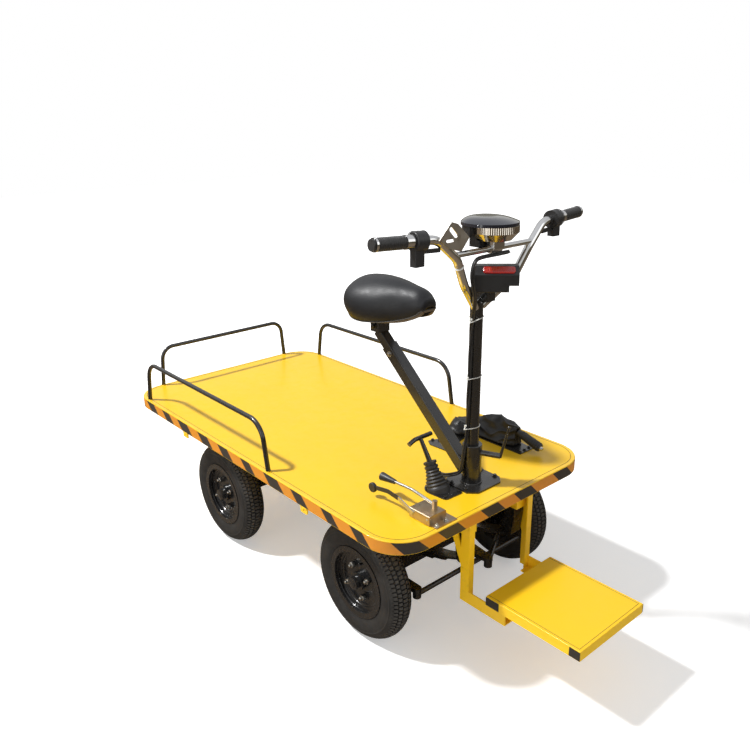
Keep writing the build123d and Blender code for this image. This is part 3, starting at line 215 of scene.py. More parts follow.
def tyre_rubber(name):
    """Dark rubber with pale dust in patches, and a painted highlight on the edges of the tread."""
    n = Nodes(name)
    dust = n.times(n.ramp(n.noise(16.0, 6.0, 0.7), 0.4, 0.75), 0.4)
    shade = n.mix(dust, RUBBER, (0.048, 0.042, 0.034))
    # Painted highlight: sharp tread edges are tinted paler, where light catches them.
    edge = n.ramp(n.add("ShaderNodeNewGeometry").outputs["Pointiness"], 0.515, 0.60, 0.0, 0.65)
    shade = n.mix(edge, shade, (0.105, 0.096, 0.082))
    fine = n.bump(n.noise(520.0, 3.0), 0.00012)
    n.set(color=shade, rough=n.ramp(n.noise(30.0, 4.0), 0.3, 0.7, 0.5, 0.75), specular=0.45, normal=fine)


def tape(name, color):
    """Printed plastic tape: slightly glossy, with rubbed patches and small ripples."""
    n = Nodes(name)
    rubbed = n.times(n.ramp(n.noise(46.0, 6.0, 0.7), 0.54, 0.74), 0.5)
    shade = n.mix(rubbed, color, tuple(0.7 * c + 0.015 for c in color))
    ripples = n.bump(n.noise(70.0, 2.0), 0.0003)
    n.set(color=shade, rough=0.42, coat=0.12, coat_rough=0.25, normal=ripples)


paint("yellow_sheet", YELLOW, rough=0.36, coat=0.12, dust=0.2, dust_color=(0.74, 0.46, 0.03))
paint("yellow_paint", YELLOW, rough=0.34, dust=0.25, dust_color=(0.7, 0.44, 0.08), grime=0.25)
paint("black_steel", BLACK_PAINT, rough=0.26, coat=0.5, dust=0.3, dust_color=(0.07, 0.06, 0.045))
metal("zinc_plate", (0.50, 0.415, 0.285), 0.34, 0.00002, (0.41, 0.285, 0.185))
plastic("cable_black", (0.014, 0.014, 0.0145), 0.42, coat=0.15)
metal("bright_rod", (0.52, 0.51, 0.48), 0.26)
plastic("black_plastic", (0.016, 0.016, 0.017), 0.42, 0.00005, 700.0)
plastic("black_gloss", (0.011, 0.013, 0.021), 0.16, 0.00001, 300.0, coat=0.7)
metal("grey_casting", (0.26, 0.26, 0.255), 0.5, 0.0, (0.16, 0.155, 0.145))
plastic("rubber", (0.013, 0.0125, 0.0125), 0.46, 0.00006, 600.0, sheen=0.1)
leather("vinyl", (0.0055, 0.0060, 0.0078), 0.46)
metal("chrome", (0.66, 0.66, 0.655), 0.13)
metal("clear_lens", (0.66, 0.62, 0.55), 0.13)
plastic("red_lens", (0.42, 0.012, 0.010), 0.16, 0.00002, 250.0, coat=0.9)
tyre_rubber("tyre")
paint("wheel_black", WHEEL_PAINT, rough=0.24, coat=0.5, dust=0.2, dust_color=(0.05, 0.045, 0.035))
tape("tape_orange", TAPE_ORANGE)
tape("tape_black", TAPE_BLACK)
plastic("pan_tan", (0.13, 0.090, 0.050), 0.55)
plastic("piping", (0.045, 0.040, 0.034), 0.5)
plastic("nylon_white", (0.70, 0.69, 0.64), 0.4)
leather("boot_leather", (0.0085, 0.0082, 0.0085), 0.34, 300.0)
metal("bracket_steel", (0.62, 0.60, 0.56), 0.34)

for row in frame["record"]["subparts"]:
    node = nodes[row["node"]]
    node.data.materials.clear()
    node.data.materials.append(MATERIALS[row["material_slot"]])
nodes["bar_bracket"].data.materials[0] = MATERIALS["bracket_steel"]


# Building of pieces
def placed(name, data):
    """A new object in the scene."""
    obj = bpy.data.objects.new(name, data)
    bpy.context.scene.collection.objects.link(obj)
    return obj


def node_points(name):
    """World places of a CAD node's corners."""
    node = nodes[name]
    return [node.matrix_world @ v.co for v in node.data.vertices]


def basis(axis):
    """An axis and two directions square to it."""
    axis = Vector(axis).normalized()
    side = axis.cross(UP)
    if side.length < 1e-3:
        side = Vector((1, 0, 0))
    side.normalize()
    return axis, side, axis.cross(side)


class Shape:
    """Points and faces of one piece, added up from turned, swept and boxed forms."""

    def __init__(self):
        self.points, self.faces = [], []

    def rings(self, rings, loop=False, around=True):
        """Faces between rings of points that follow each other; a ring of one point is a tip."""
        starts = []
        for ring in rings:
            starts.append((len(self.points), len(ring)))
            self.points.extend(ring)
        pairs = list(zip(starts, starts[1:])) + ([(starts[-1], starts[0])] if loop else [])
        for (a, n), (b, m) in pairs:
            count = max(n, m)
            for k in range(count if around else count - 1):
                j = (k + 1) % count
                if n == 1:
                    self.faces.append((a, b + j, b + k))
                elif m == 1:
                    self.faces.append((a + k, a + j, b))
                else:
                    self.faces.append((a + k, a + j, b + j, b + k))
        return self

    def turned(self, start, axis, profile, segments=24, phase=0.0):
        """A turned form: profile rows are (distance along the axis, radius)."""
        axis, side, up = basis(axis)
        rings = []
        for along, radius in profile:
            centre = Vector(start) + axis * along
            if radius <= 0:
                rings.append([centre])
                continue
            turns = [phase + tau * k / segments for k in range(segments)]
            rings.append([centre + (side * cos(t) + up * sin(t)) * radius for t in turns])
        return self.rings(rings)

    def swept(self, path, radius, segments=10, closed=False, section=None, side=None):
        """A form of constant or listed radius, or of a given flat section, along a path."""
        path = [Vector(p) for p in path]
        count = len(path)
        rings = []
        for i, point in enumerate(path):
            before = path[i - 1] if i or closed else point
            after = path[(i + 1) % count] if i < count - 1 or closed else point
            tangent = (after - before).normalized()
            if side is None:
                side = basis(tangent)[1]
            side = (side - tangent * side.dot(tangent)).normalized()
            up = tangent.cross(side)
            if section is None:
                r = radius[i] if isinstance(radius, (list, tuple)) else radius
                turns = [tau * k / segments for k in range(segments)]
                offsets = [(cos(t) * r, sin(t) * r) for t in turns]
            else:
                offsets = section
            rings.append([point + side * a + up * b for a, b in offsets])
        if not closed:
            rings = [[path[0]]] + rings + [[path[-1]]]
        return self.rings(rings, loop=closed)

    def block(self, centre, size, bevel, turn=None):
        """A box with bevelled edges, turned by a 3 by 3 matrix."""
        bm = bmesh.new()
        bmesh.ops.create_cube(bm, size=1.0)
        bmesh.ops.scale(bm, vec=size, verts=bm.verts)
        bmesh.ops.bevel(bm, geom=bm.edges[:], offset=bevel, segments=2, profile=0.6, affect="EDGES")
        first = len(self.points)
        turn = turn or Matrix.Identity(3)
        bm.verts.index_update()
        self.points.extend(Vector(centre) + turn @ v.co for v in bm.verts)
        self.faces.extend(tuple(first + v.index for v in face.verts) for face in bm.faces)
        bm.free()

    def bolt(self, place, axis, size, stud=0.0):
        """A hexagon head on a washer, its axis pointing out of the surface."""
        start = Vector(place)
        axis = Vector(axis).normalized()
        washer = ((0, 0), (0, 1.75 * size), (0.22 * size, 1.7 * size), (0.25 * size, 0))
        self.turned(start, axis, washer, 20)
        start = start + axis * (0.25 * size)
        head = ((0, 0), (0, size * 1.08), (size * 0.85, size * 1.08), (size, size * 0.9), (size, 0))
        self.turned(start, axis, head, 6, random.uniform(0, 1))
        if stud > 0:
            end = ((0, 0), (0, size * 0.5), (stud * 0.85, size * 0.5), (stud, size * 0.38), (stud, 0))
            self.turned(start + axis * size, axis, end, 12)

    def piece(self, name, material, body="root", slot=None, smooth=35.0):
        """The finished object, riding a body, with edges sharp above an angle."""
        mesh = bpy.data.meshes.new(name)
        mesh.from_pydata([tuple(p) for p in self.points], [], self.faces)
        mesh.materials.append(MATERIALS[material])
        bm = bmesh.new()
        bm.from_mesh(mesh)
        bmesh.ops.recalc_face_normals(bm, faces=bm.faces[:])
        bm.to_mesh(mesh)
        bm.free()
        mesh.polygons.foreach_set("use_smooth", [True] * len(mesh.polygons))
        mesh.set_sharp_from_angle(angle=radians(smooth))
        obj = placed(name, mesh)
        if body is not None:
            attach(obj, body)
        return obj


def raised(first, last, edge, low, high):
    """Profile rows of a low ridge with slanted edges."""
    return (first, low), (first + edge, high), (last - edge, high), (last, low)


def strip(low, high, half):
    """The section of a flat strip, for swept."""
    return (low, -half), (high, -half), (high, half), (low, half)


def circle(centre, axis, radius, count=48):
    """Points round an axis."""
    side, up = basis(axis)[1:]
    turns = [tau * k / count for k in range(count)]
    return [Vector(centre) + (side * cos(t) + up * sin(t)) * radius for t in turns]


def middle_of(ring):
    return sum(ring, Vector()) / len(ring)


def rounded(stops, radii, step=0.004):
    """Points along straight legs joined by tangent arcs."""
    stops = [Vector(p) for p in stops]
    points = [stops[0]]
    for i in range(1, len(stops) - 1):
        here = stops[i]
        back, ahead = (stops[i - 1] - here).normalized(), (stops[i + 1] - here).normalized()
        opening = back.angle(ahead)
        middle = (back + ahead).normalized()
        centre = here + middle * (radii[i - 1] / sin(opening / 2))
        run = radii[i - 1] / tan(opening / 2)
        first, last = here + back * run - centre, here + ahead * run - centre
        count = max(3, int(first.angle(last) * radii[i - 1] / step))
        points.extend(centre + first.slerp(last, k / count) * radii[i - 1] for k in range(count + 1))
    points.append(stops[-1])
    out = [points[0]]
    for a, b in zip(points, points[1:]):
        pieces = max(1, int((b - a).length / (4 * step)))
        out.extend(a.lerp(b, k / pieces) for k in range(1, pieces + 1))
    return out


def smooth_value(table, x, column):
    """A column of a table read at x along a smooth curve through its rows."""
    xs = [row[0] for row in table]
    x = min(max(x, xs[0]), xs[-1])
    i = max(k for k in range(len(xs) - 1) if xs[k] <= x + 1e-12)
    p = [table[min(max(i + d, 0), len(table) - 1)] for d in (-1, 0, 1, 2)]
    h = p[2][0] - p[1][0]
    t = (x - p[1][0]) / h
    def slope(a, b, c):
        return (c[column] - a[column]) / (c[0] - a[0]) * h if c[0] > a[0] else 0.0
    m0, m1 = slope(p[0], p[1], p[2]), slope(p[1], p[2], p[3])
    t2, t3 = t * t, t * t * t
    a, b = p[1][column], p[2][column]
    return (2 * t3 - 3 * t2 + 1) * a + (t3 - 2 * t2 + t) * m0 + (3 * t2 - 2 * t3) * b + (t3 - t2) * m1


# Hazard tape round the rim: slanted bands laid out along the rim's outer face
SEEN_BANDS = (
    # first and last place of each black band that the photograph shows, along the rim
    (-0.120, -0.048), (0.003, 0.066), (0.138, 0.197), (0.263, 0.342), (0.418, 0.490), (0.561, 0.628),
    (0.712, 0.768), (0.852, 0.932), (1.002, 1.060), (1.154, 1.206), (1.288, 1.344), (1.440, 1.517),
    (1.585, 1.664), (1.759, 1.834), (1.907, 1.987), (2.097, 2.170),
)
TAPE_OUT = 0.0005
TAPE_SLANT = 0.036
TAPE_LOW, TAPE_HIGH = DECK_TOP - RIM_HIGH + 0.0012, DECK_TOP - 0.0032
SIDE_RUN = DECK_FRONT - DECK_REAR - 2 * DECK_CORNER
END_RUN = 2 * DECK_HALF - 2 * DECK_CORNER
CORNER_RUN = DECK_CORNER * pi / 2
RIM_RUN = 2 * (SIDE_RUN + END_RUN) + 4 * CORNER_RUN


def rim_point(run, level):
    """A point just off the rim's outer face, at a distance round it from the right side's rear end."""
    run %= RIM_RUN
    middle = (DECK_REAR + DECK_FRONT) / 2
    legs = (
        (SIDE_RUN, (middle - SIDE_RUN / 2, -DECK_HALF), 0.0),
        (END_RUN, (DECK_FRONT, -END_RUN / 2), 90.0),
        (SIDE_RUN, (middle + SIDE_RUN / 2, DECK_HALF), 180.0),
        (END_RUN, (DECK_REAR, END_RUN / 2), 270.0),
    )
    for length, start, turn in legs:
        along = Vector((cos(radians(turn)), sin(radians(turn))))
        out = Vector((along.y, -along.x))
        if run <= length:
            flat = Vector(start) + along * run + out * TAPE_OUT
            return Vector((flat.x, flat.y, level))
        run -= length
        if run <= CORNER_RUN:
            centre = Vector(start) + along * length - out * DECK_CORNER
            angle = run / DECK_CORNER
            flat = centre + (out * cos(angle) + along * sin(angle)) * (DECK_CORNER + TAPE_OUT)
            return Vector((flat.x, flat.y, level))
        run -= CORNER_RUN
    return rim_point(0.0, level)


def tape_band(shape, first, last):
    """One slanted band from first to last along the rim's top edge."""
    columns = max(2, int((last - first) / 0.006))
    rows = []
    for k in range(5):
        level = TAPE_HIGH + (TAPE_LOW - TAPE_HIGH) * k / 4
        start = first + TAPE_SLANT * k / 4
        rows.append([rim_point(start + (last - first) * j / columns, level) for j in range(columns + 1)])
    shape.rings(rows, around=False)


def make_tape():
    """Black and orange bands all round the deck's rim, and black corner pieces on the tray."""
    random.seed(5)
    black = list(SEEN_BANDS)
    place = SEEN_BANDS[-1][1] + 0.075
    while place < RIM_RUN + SEEN_BANDS[0][0] - 0.12:
        wide = random.uniform(0.052, 0.066)
        black.append((place, place + wide))
        place += wide + random.uniform(0.058, 0.070)
    dark, bright = Shape(), Shape()
    for index, (first, last) in enumerate(black):
        tape_band(dark, first, last)
        following = black[index + 1][0] if index + 1 < len(black) else black[0][0] + RIM_RUN
        tape_band(bright, last, following)
    dark.piece("tape_black_bands", "tape_black")
    bright.piece("tape_orange_bands", "tape_orange")
    tray = Shape()
    low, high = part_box("foot_tray")
    for x0, x1 in ((low[0], low[0] + 0.048), (high[0] - 0.034, high[0])):
        for y in (low[1] - TAPE_OUT, high[1] + TAPE_OUT):
            levels = high[2] - 0.002, low[2] + 0.001
            tray.rings([[Vector((x0, y, z)), Vector((x1, y, z))] for z in levels], around=False)
    tray.piece("tray_tape", "tape_black")


SEAM_RADIUS, SEAM_LIFT = 0.0005, 0.0002
DECK_SEAM_IN, TRAY_SEAM_IN, TRAY_SEAM_REAR = 0.0142, 0.009, 0.004


def make_seams():
    """Thin dark joint lines where the sheets are let into the deck's and the tray's edges."""
    lines = Shape()
    level = DECK_TOP + SEAM_LIFT
    path = []
    for k in range(400):
        p = rim_point(RIM_RUN * k / 400, level)
        q = rim_point(RIM_RUN * (k + 0.5) / 400, level)
        along = (q - p).normalized()
        path.append(p - Vector((along.y, -along.x, 0)) * (DECK_SEAM_IN + TAPE_OUT))
    lines.swept(path, SEAM_RADIUS, 6, closed=True)
    low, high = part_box("foot_tray")
    rear, front = low[0] + TRAY_SEAM_REAR, high[0] - TRAY_SEAM_IN
    right, left = low[1] + TRAY_SEAM_IN, high[1] - TRAY_SEAM_IN
    stops = (rear, right), (front, right), (front, left), (rear, left)
    stops = [Vector((x, y, high[2] + SEAM_LIFT)) for x, y in stops]
    for a, b in zip(stops, stops[1:]):
        lines.swept([a.lerp(b, k / 20) for k in range(21)], SEAM_RADIUS, 6)
    lines.piece("sheet_seams", "tape_black")


# Tyres: tread blocks on a crowned face, ridged side walls
TYRE_SIDE = (
    # across from the wheel's middle, radius
    (0.0325, 0.1022), (0.0330, 0.1120), (0.0333, 0.1165), (0.0348, 0.1182), (0.0357, 0.1200),
    (0.0359, 0.1222), (0.0372, 0.1250), (0.0392, 0.1310), (0.0410, 0.1380), (0.0421, 0.1460),
    (0.0421, 0.1520), (0.0413, 0.1580), (0.0419, 0.1592), (0.0417, 0.1612), (0.0406, 0.1625),
    (0.0396, 0.1670), (0.0384, 0.1700),
)
TREAD_ROWS = (
    # across from the wheel's middle, cut: 0 nowhere, 1 or 2 between staggered blocks, 3 all round
    (0.0345, 0), (0.0338, 1), (0.0252, 1), (0.0245, 3), (0.0222, 3),
    (0.0215, 2), (0.0122, 2), (0.0115, 3), (0.0092, 3), (0.0085, 1),
)
TREAD_PITCH = (
    # share of a block's pitch, cut there in rows of kind 1, cut there in rows of kind 2
    (0.0, 1, 0), (0.05, 0, 0), (0.22, 0, 0), (0.27, 0, 1),
    (0.5, 0, 1), (0.55, 0, 0), (0.72, 0, 0), (0.77, 1, 0),
)
TREAD_BLOCKS = 84
TREAD_DEEP = 0.0050
CROWN_MIDDLE, CROWN_RADIUS = 0.143, 0.0470

# Turned profiles of the wheel's small parts: distance outward, radius
NUT = ((0, 0), (0, 0.0096), (0.0072, 0.0101), (0.0088, 0.0090), (0.0092, 0.0060), (0.0092, 0))
NUT_TIP = ((0, 0.0052), (0.0060, 0.0050), (0.0075, 0.0036), (0.0075, 0))
NUT_SEAT = ((0, 0), (0, 0.0132), (0.0018, 0.0132), (0.0024, 0.0112), (0.0024, 0))
HUB_CAP = ((0, 0.0206), (0.0120, 0.0206), (0.0158, 0.0186), (0.0172, 0.0140), (0.0172, 0))
HUB_TIP = ((0.0004, 0.0120), (0.0022, 0.0115), (0.0030, 0.0080), (0.0030, 0))
VALVE = (
    (0, 0), (0, 0.0055), (0.004, 0.0050), (0.008, 0.0038), (0.018, 0.0036),
    (0.0185, 0.0044), (0.026, 0.0044), (0.027, 0.0034), (0.027, 0),
)
DISC_OUT, HUB_OUT = 0.0135, 0.0462
LUG_CIRCLE, VALVE_CIRCLE = 0.052, 0.074
RIM_LINES = ((0.0945, 0.0285), (0.0868, 0.0165))


def crown(across):
    """The tread's radius at a place across the tyre."""
    return CROWN_MIDDLE + sqrt(max(CROWN_RADIUS ** 2 - across ** 2, 0.0))


def wheel_point(x, y, radius, turn):
    return Vector((x + radius * cos(turn), y, AXLE_Z + radius * sin(turn)))


def make_tyre(name, x, y):
    """A tyre turned about its axle, its tread cut into staggered rows of blocks."""
    rows = [(across, radius, 0) for across, radius in TYRE_SIDE]
    rows += [(across, crown(across), kind) for across, kind in TREAD_ROWS]
    rows.append((0.0, crown(0.0), 1))
    rows += [(-across, radius, kind) for across, radius, kind in rows[-2::-1]]
    rings = []
    for across, radius, kind in rows:
        ring = []
        for block in range(TREAD_BLOCKS):
            for part, first, second in TREAD_PITCH:
                deep = (0, first, second, 1)[kind] * TREAD_DEEP
                turn = tau * (block + part) / TREAD_BLOCKS
                ring.append(wheel_point(x, y + across, radius - deep, turn))
        rings.append(ring)
    tyre = Shape().rings(rings, loop=True)
    obj = tyre.piece(f"tread_tyre_{name}", "tyre", f"wheel_{name}", "tyre", 28.0)
    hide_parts(f"tyre_{name}")


def make_wheel_details(name, x, y):
    """Lug nuts, hub cap, valve and two raised lines on the outer side of a wheel."""
    out = 1 if y > 0 else -1
    sums = [0.0, 0.0]
    for p in node_points(f"rim_{name}"):
        radius = hypot(p.x - x, p.z - AXLE_Z)
        if abs(p.y - y) > 0.0300 and 0.042 < radius < 0.063:
            turn = atan2(p.z - AXLE_Z, p.x - x)
            sums[0] += cos(4 * turn)
            sums[1] += sin(4 * turn)
    phase = atan2(sums[1], sums[0]) / 4
    axis = Vector((0, out, 0))
    bright, dark = Shape(), Shape()
    for k in range(4):
        turn = phase + k * pi / 2
        foot = wheel_point(x, y + out * DISC_OUT, LUG_CIRCLE, turn)
        bright.turned(foot + axis * 0.0085, axis, NUT, 6, turn)
        bright.turned(foot + axis * 0.0177, axis, NUT_TIP, 14)
        dark.turned(foot, axis, NUT_SEAT, 24)
    hub = Vector((x, y + out * HUB_OUT, AXLE_Z))
    dark.turned(hub - axis * 0.0165, axis, HUB_CAP, 28)
    dark.turned(hub, axis, HUB_TIP, 28)
    turn = phase + pi / 4
    lean = (axis + Vector((cos(turn), 0, sin(turn))) * 0.25).normalized()
    dark.turned(wheel_point(x, y + out * DISC_OUT, VALVE_CIRCLE, turn), lean, VALVE, 14)
    for radius, across in RIM_LINES:
        path = [wheel_point(x, y + out * across, radius, tau * k / 120) for k in range(120)]
        dark.swept(path, 0.0012, 6, closed=True)
    bright.piece(f"wheel_nuts_{name}", "bright_rod", f"wheel_{name}", "bright_rod")
    dark.piece(f"wheel_trim_{name}", "wheel_black", f"wheel_{name}", "wheel_black")

# Saddle: a padded cover with piping and a tan pan
SADDLE_ROWS = (
    # back, shoulder half width, base half width, base, crown
    (0.000, 0.050, 0.050, 0.040, 0.092),
    (0.028, 0.076, 0.078, 0.014, 0.119),
    (0.085, 0.090, 0.100, 0.0005, 0.130),
    (0.165, 0.076, 0.086, 0.0005, 0.132),
    (0.245, 0.049, 0.052, 0.010, 0.123),
    (0.300, 0.036, 0.036, 0.030, 0.114),
    (0.322, 0.025, 0.025, 0.048, 0.095),
)
SADDLE_LIFT = ((0.0, 0.0), (0.10, 0.0), (0.18, 0.004), (0.25, 0.009), (0.322, 0.010))
SADDLE_BACKS = [0.0, 0.004, 0.010, 0.018] + [0.028 + 0.0135 * k for k in range(21)] + [0.309, 0.316, 0.3215]
SHOULDER_SHARE = 0.24
PAN_FRONT, PAN_LOWEST = 0.12, 0.0006


def saddle_half(back, lift):
    """The right half of the cover's section, from the crown down to its lower edge."""
    shoulder, base, low, high = (smooth_value(SADDLE_ROWS, back, c) for c in (1, 2, 3, 4))
    drop = SHOULDER_SHARE * (high - low)
    radius = (shoulder ** 2 + drop ** 2) / (2 * drop)
    middle = high - radius
    sweep = asin(min(1.0, shoulder / radius))
    points = [(radius * sin(sweep * k / 8), middle + radius * cos(sweep * k / 8)) for k in range(9)]
    start = Vector((shoulder, high - drop))
    tangent = Vector((cos(sweep), -sin(sweep)))
    end = Vector((base, low))
    normal = Vector((-tangent.y, tangent.x))
    reach = end - start
    bend = reach.length_squared / (2 * reach.dot(normal))
    centre = start + normal * bend
    a0 = atan2(start.y - centre.y, start.x - centre.x)
    a1 = atan2(end.y - centre.y, end.x - centre.x)
    if bend < 0 and a1 > a0:
        a1 -= tau
    if bend > 0 and a1 < a0:
        a1 += tau
    side = []
    for k in range(1, 11):
        turn = a0 + (a1 - a0) * k / 10
        side.append((centre.x + abs(bend) * cos(turn), centre.y + abs(bend) * sin(turn)))
    if lift > 0:
        kept = [p for p in side if p[1] > low + lift]
        cut = [p for p in side if p[1] <= low + lift]
        if cut and kept:
            a, b = kept[-1], cut[0]
            t = (a[1] - low - lift) / max(a[1] - b[1], 1e-6)
            kept.append((a[0] + (b[0] - a[0]) * t, low + lift))
        side = kept
    return points + side


def resampled(points, count):
    """The same line with evenly spaced points."""
    runs = [0.0]
    for a, b in zip(points, points[1:]):
        runs.append(runs[-1] + hypot(b[0] - a[0], b[1] - a[1]))
    out = []
    for k in range(count):
        want = runs[-1] * k / (count - 1)
        i = max(j for j in range(len(runs) - 1) if runs[j] <= want + 1e-12)
        t = (want - runs[i]) / max(runs[i + 1] - runs[i], 1e-9)
        (ax, ay), (bx, by) = points[i], points[i + 1]
        out.append((ax + (bx - ax) * t, ay + (by - ay) * t))
    return out


def shrunk(ring, share, shift):
    """A ring drawn in to its middle and shifted along the cart."""
    middle = middle_of(ring)
    return [middle + (p - middle) * share + Vector((shift, 0, 0)) for p in ring]


def make_saddle():
    """The saddle's padded cover, its piping and the pan below."""
    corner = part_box("saddle")[0]
    rear, floor = corner[0], corner[2]
    rings, edges = [], []
    for back in SADDLE_BACKS:
        half = resampled(saddle_half(back, smooth_value(SADDLE_LIFT, back, 1)), 18)
        base, edge = half[-1]
        inner = [(base - 0.003, edge - 0.0004), (base - 0.010, edge + 0.003), (base * 0.45, edge + 0.006)]
        full = half + inner
        section = [(-a, b) for a, b in full[::-1]] + full[1:]
        rings.append([Vector((rear + back, a, floor + b)) for a, b in section])
        edges.append((back, base, edge))
    first, last = rings[0], rings[-1]
    rings = [shrunk(first, 0.30, -0.0085), shrunk(first, 0.72, -0.0062), shrunk(first, 0.92, -0.0028)] + rings
    rings = rings + [shrunk(last, 0.90, 0.0032), shrunk(last, 0.66, 0.0060), shrunk(last, 0.28, 0.0074)]
    rings = [[middle_of(rings[0])]] + rings + [[middle_of(rings[-1])]]
    cover = Shape().rings(rings).piece("saddle_cover", "vinyl", None, smooth=180.0)
    normals = [vertex.normal.copy() for vertex in cover.data.vertices]
    for vertex, normal in zip(cover.data.vertices, normals):
        p = vertex.co
        share = min(1.0, max(0.0, (p.z - floor - 0.02) / 0.05))
        ripple = noise.noise(Vector((p.x * 16, p.y * 16, p.z * 16))) * 0.0012 * share
        vertex.co = p + normal * ripple
    smooth = cover.modifiers.new("smooth", "SUBSURF")
    smooth.levels = smooth.render_levels = 2
    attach(cover, "root")
    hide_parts("saddle")
    piping = Shape()
    loop = [Vector((rear + back, -base - 0.0002, floor + z - 0.0004)) for back, base, z in edges]
    loop += [Vector((rear + back, base + 0.0002, floor + z - 0.0004)) for back, base, z in reversed(edges)]
    piping.swept(loop, 0.0019, 8, closed=True)
    piping.piece("saddle_piping", "piping")
    pan = []
    for back, base, z in edges:
        if back >= PAN_FRONT:
            pan.append((back, base - 0.0035, z, max(smooth_value(SADDLE_ROWS, back, 3), PAN_LOWEST)))
    around = [(b, -w, z, low) for b, w, z, low in pan] + pan[::-1]
    top = [Vector((rear + b, w, floor + z + 0.001)) for b, w, z, low in around]
    bottom = [Vector((rear + b, w * 0.96, floor + low)) for b, w, z, low in around]
    under = [Vector((rear + b, w * 0.5, floor + low + 0.002)) for b, w, z, low in around]
    Shape().rings([top, bottom, under]).piece("saddle_pan", "pan_tan")


# Handbrake: leather boot, ribbed grip and bright button
BOOT_Y, BOOT_FRONT = 0.310, 0.382
LUMP_PLACE = (0.190, 0.262)
LUMP_PROFILE = ((0, 0), (0, 0.050), (0.012, 0.049), (0.030, 0.040), (0.042, 0.024), (0.047, 0.0))
GRIP_START, GRIP_LONG = Vector((0.4062, 0.310, 0.509)), 0.096
GRIP_AXIS = Vector((0.956, 0, -0.292)).normalized()
BUTTON = (
    (-0.002, 0), (-0.002, 0.0088), (0.0022, 0.0088), (0.0028, 0.0066),
    (0.0074, 0.0064), (0.0086, 0.0050), (0.0088, 0),
)
BOOT_ROWS = (
    # place along the cart from the boot's front, ridge half width, base half width, height
    (-0.278, 0.003, 0.010, 0.004),
    (-0.270, 0.008, 0.018, 0.009),
    (-0.215, 0.014, 0.038, 0.038),
    (-0.144, 0.016, 0.044, 0.057),
    (-0.077, 0.018, 0.045, 0.084),
    (-0.020, 0.018, 0.043, 0.081),
    (0.024, 0.017, 0.022, 0.066),
)


def boot_ring(x, ridge, base, high, floor):
    """A gathered section: flared foot, hollow flank and a rounded ridge."""
    right = []
    for k in range(13):
        t = k / 12
        width = base + (ridge - base) * (1 - (1 - t) ** 1.5)
        if t > 0.8:
            width *= sqrt(max(0.0, 1 - ((t - 0.8) / 0.2) ** 2)) * 0.92 + 0.08
        right.append((width, high * t))
    left = [(-w, z) for w, z in reversed(right)]
    return [Vector((x, BOOT_Y + w, floor + z)) for w, z in right + left]


def make_boot():
    """The gathered leather boot with its folds, and the grip's ribs and button."""
    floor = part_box("handbrake_boot")[0][2]
    rings = []
    for x in [BOOT_ROWS[0][0] + 0.0075 * k for k in range(41)] + [BOOT_ROWS[-1][0]]:
        ridge_half, base, tall = (max(0.002, smooth_value(BOOT_ROWS, x, c)) for c in (1, 2, 3))
        rings.append(boot_ring(BOOT_FRONT + x, ridge_half, base, tall, floor))
    joined = Shape().rings([[middle_of(rings[0])]] + rings + [[middle_of(rings[-1])]])
    joined.turned((*LUMP_PLACE, floor + 0.002), UP, LUMP_PROFILE, 28)
    boot = joined.piece("handbrake_leather", "boot_leather", None, smooth=180.0)
    joining = boot.modifiers.new("join", "REMESH")
    joining.mode = "VOXEL"
    joining.voxel_size = 0.0040
    relaxed = boot.modifiers.new("relax", "SMOOTH")
    relaxed.factor, relaxed.iterations = 0.6, 6
    finer = boot.modifiers.new("finer", "SUBSURF")
    finer.levels = finer.render_levels = 1
    graph = bpy.context.evaluated_depsgraph_get()
    mesh = bpy.data.meshes.new_from_object(boot.evaluated_get(graph))
    boot.modifiers.clear()
    old = boot.data
    boot.data = mesh
    bpy.data.meshes.remove(old)
    normals = [vertex.normal.copy() for vertex in mesh.vertices]
    for vertex, normal in zip(mesh.vertices, normals):
        p = vertex.co
        share = min(1.0, max(0.0, (p.z - floor - 0.003) / 0.02))
        fan = atan2(p.y - BOOT_Y, max(BOOT_FRONT + 0.055 - p.x, 0.01)) * 7 + (p.z - floor) * 46
        wave = sin(fan + 2.2 * noise.noise(Vector((p.x * 16, p.y * 16, p.z * 16))))
        fold = 1.0 - 2.0 * abs(wave) ** 0.55
        loose = noise.noise(Vector((p.x * 26 + p.z * 12, p.y * 20, p.z * 42)))
        fine = noise.noise(Vector((p.x * 60 - p.z * 40, p.y * 60, p.z * 70)))
        vertex.co = p + normal * (fold * 0.0032 + loose * 0.0030 + fine * 0.0006) * share
    mesh.polygons.foreach_set("use_smooth", [True] * len(mesh.polygons))
    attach(boot, "root")
    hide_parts("handbrake_boot")
    ribs, bright = Shape(), Shape()
    for k in range(9):
        place = 0.016 + 0.0088 * k
        radius = 0.0113 + 0.0030 * place / GRIP_LONG
        foot = radius * 0.9
        rib = (-0.0036, foot), (-0.0028, radius + 0.0019), (0.0028, radius + 0.0021), (0.0036, foot)
        ribs.turned(GRIP_START + GRIP_AXIS * place, GRIP_AXIS, rib, 28)
    bright.turned(GRIP_START + GRIP_AXIS * GRIP_LONG, GRIP_AXIS, BUTTON, 26)
    ribs.piece("handbrake_ribs", "rubber")
    bright.piece("handbrake_button", "chrome")


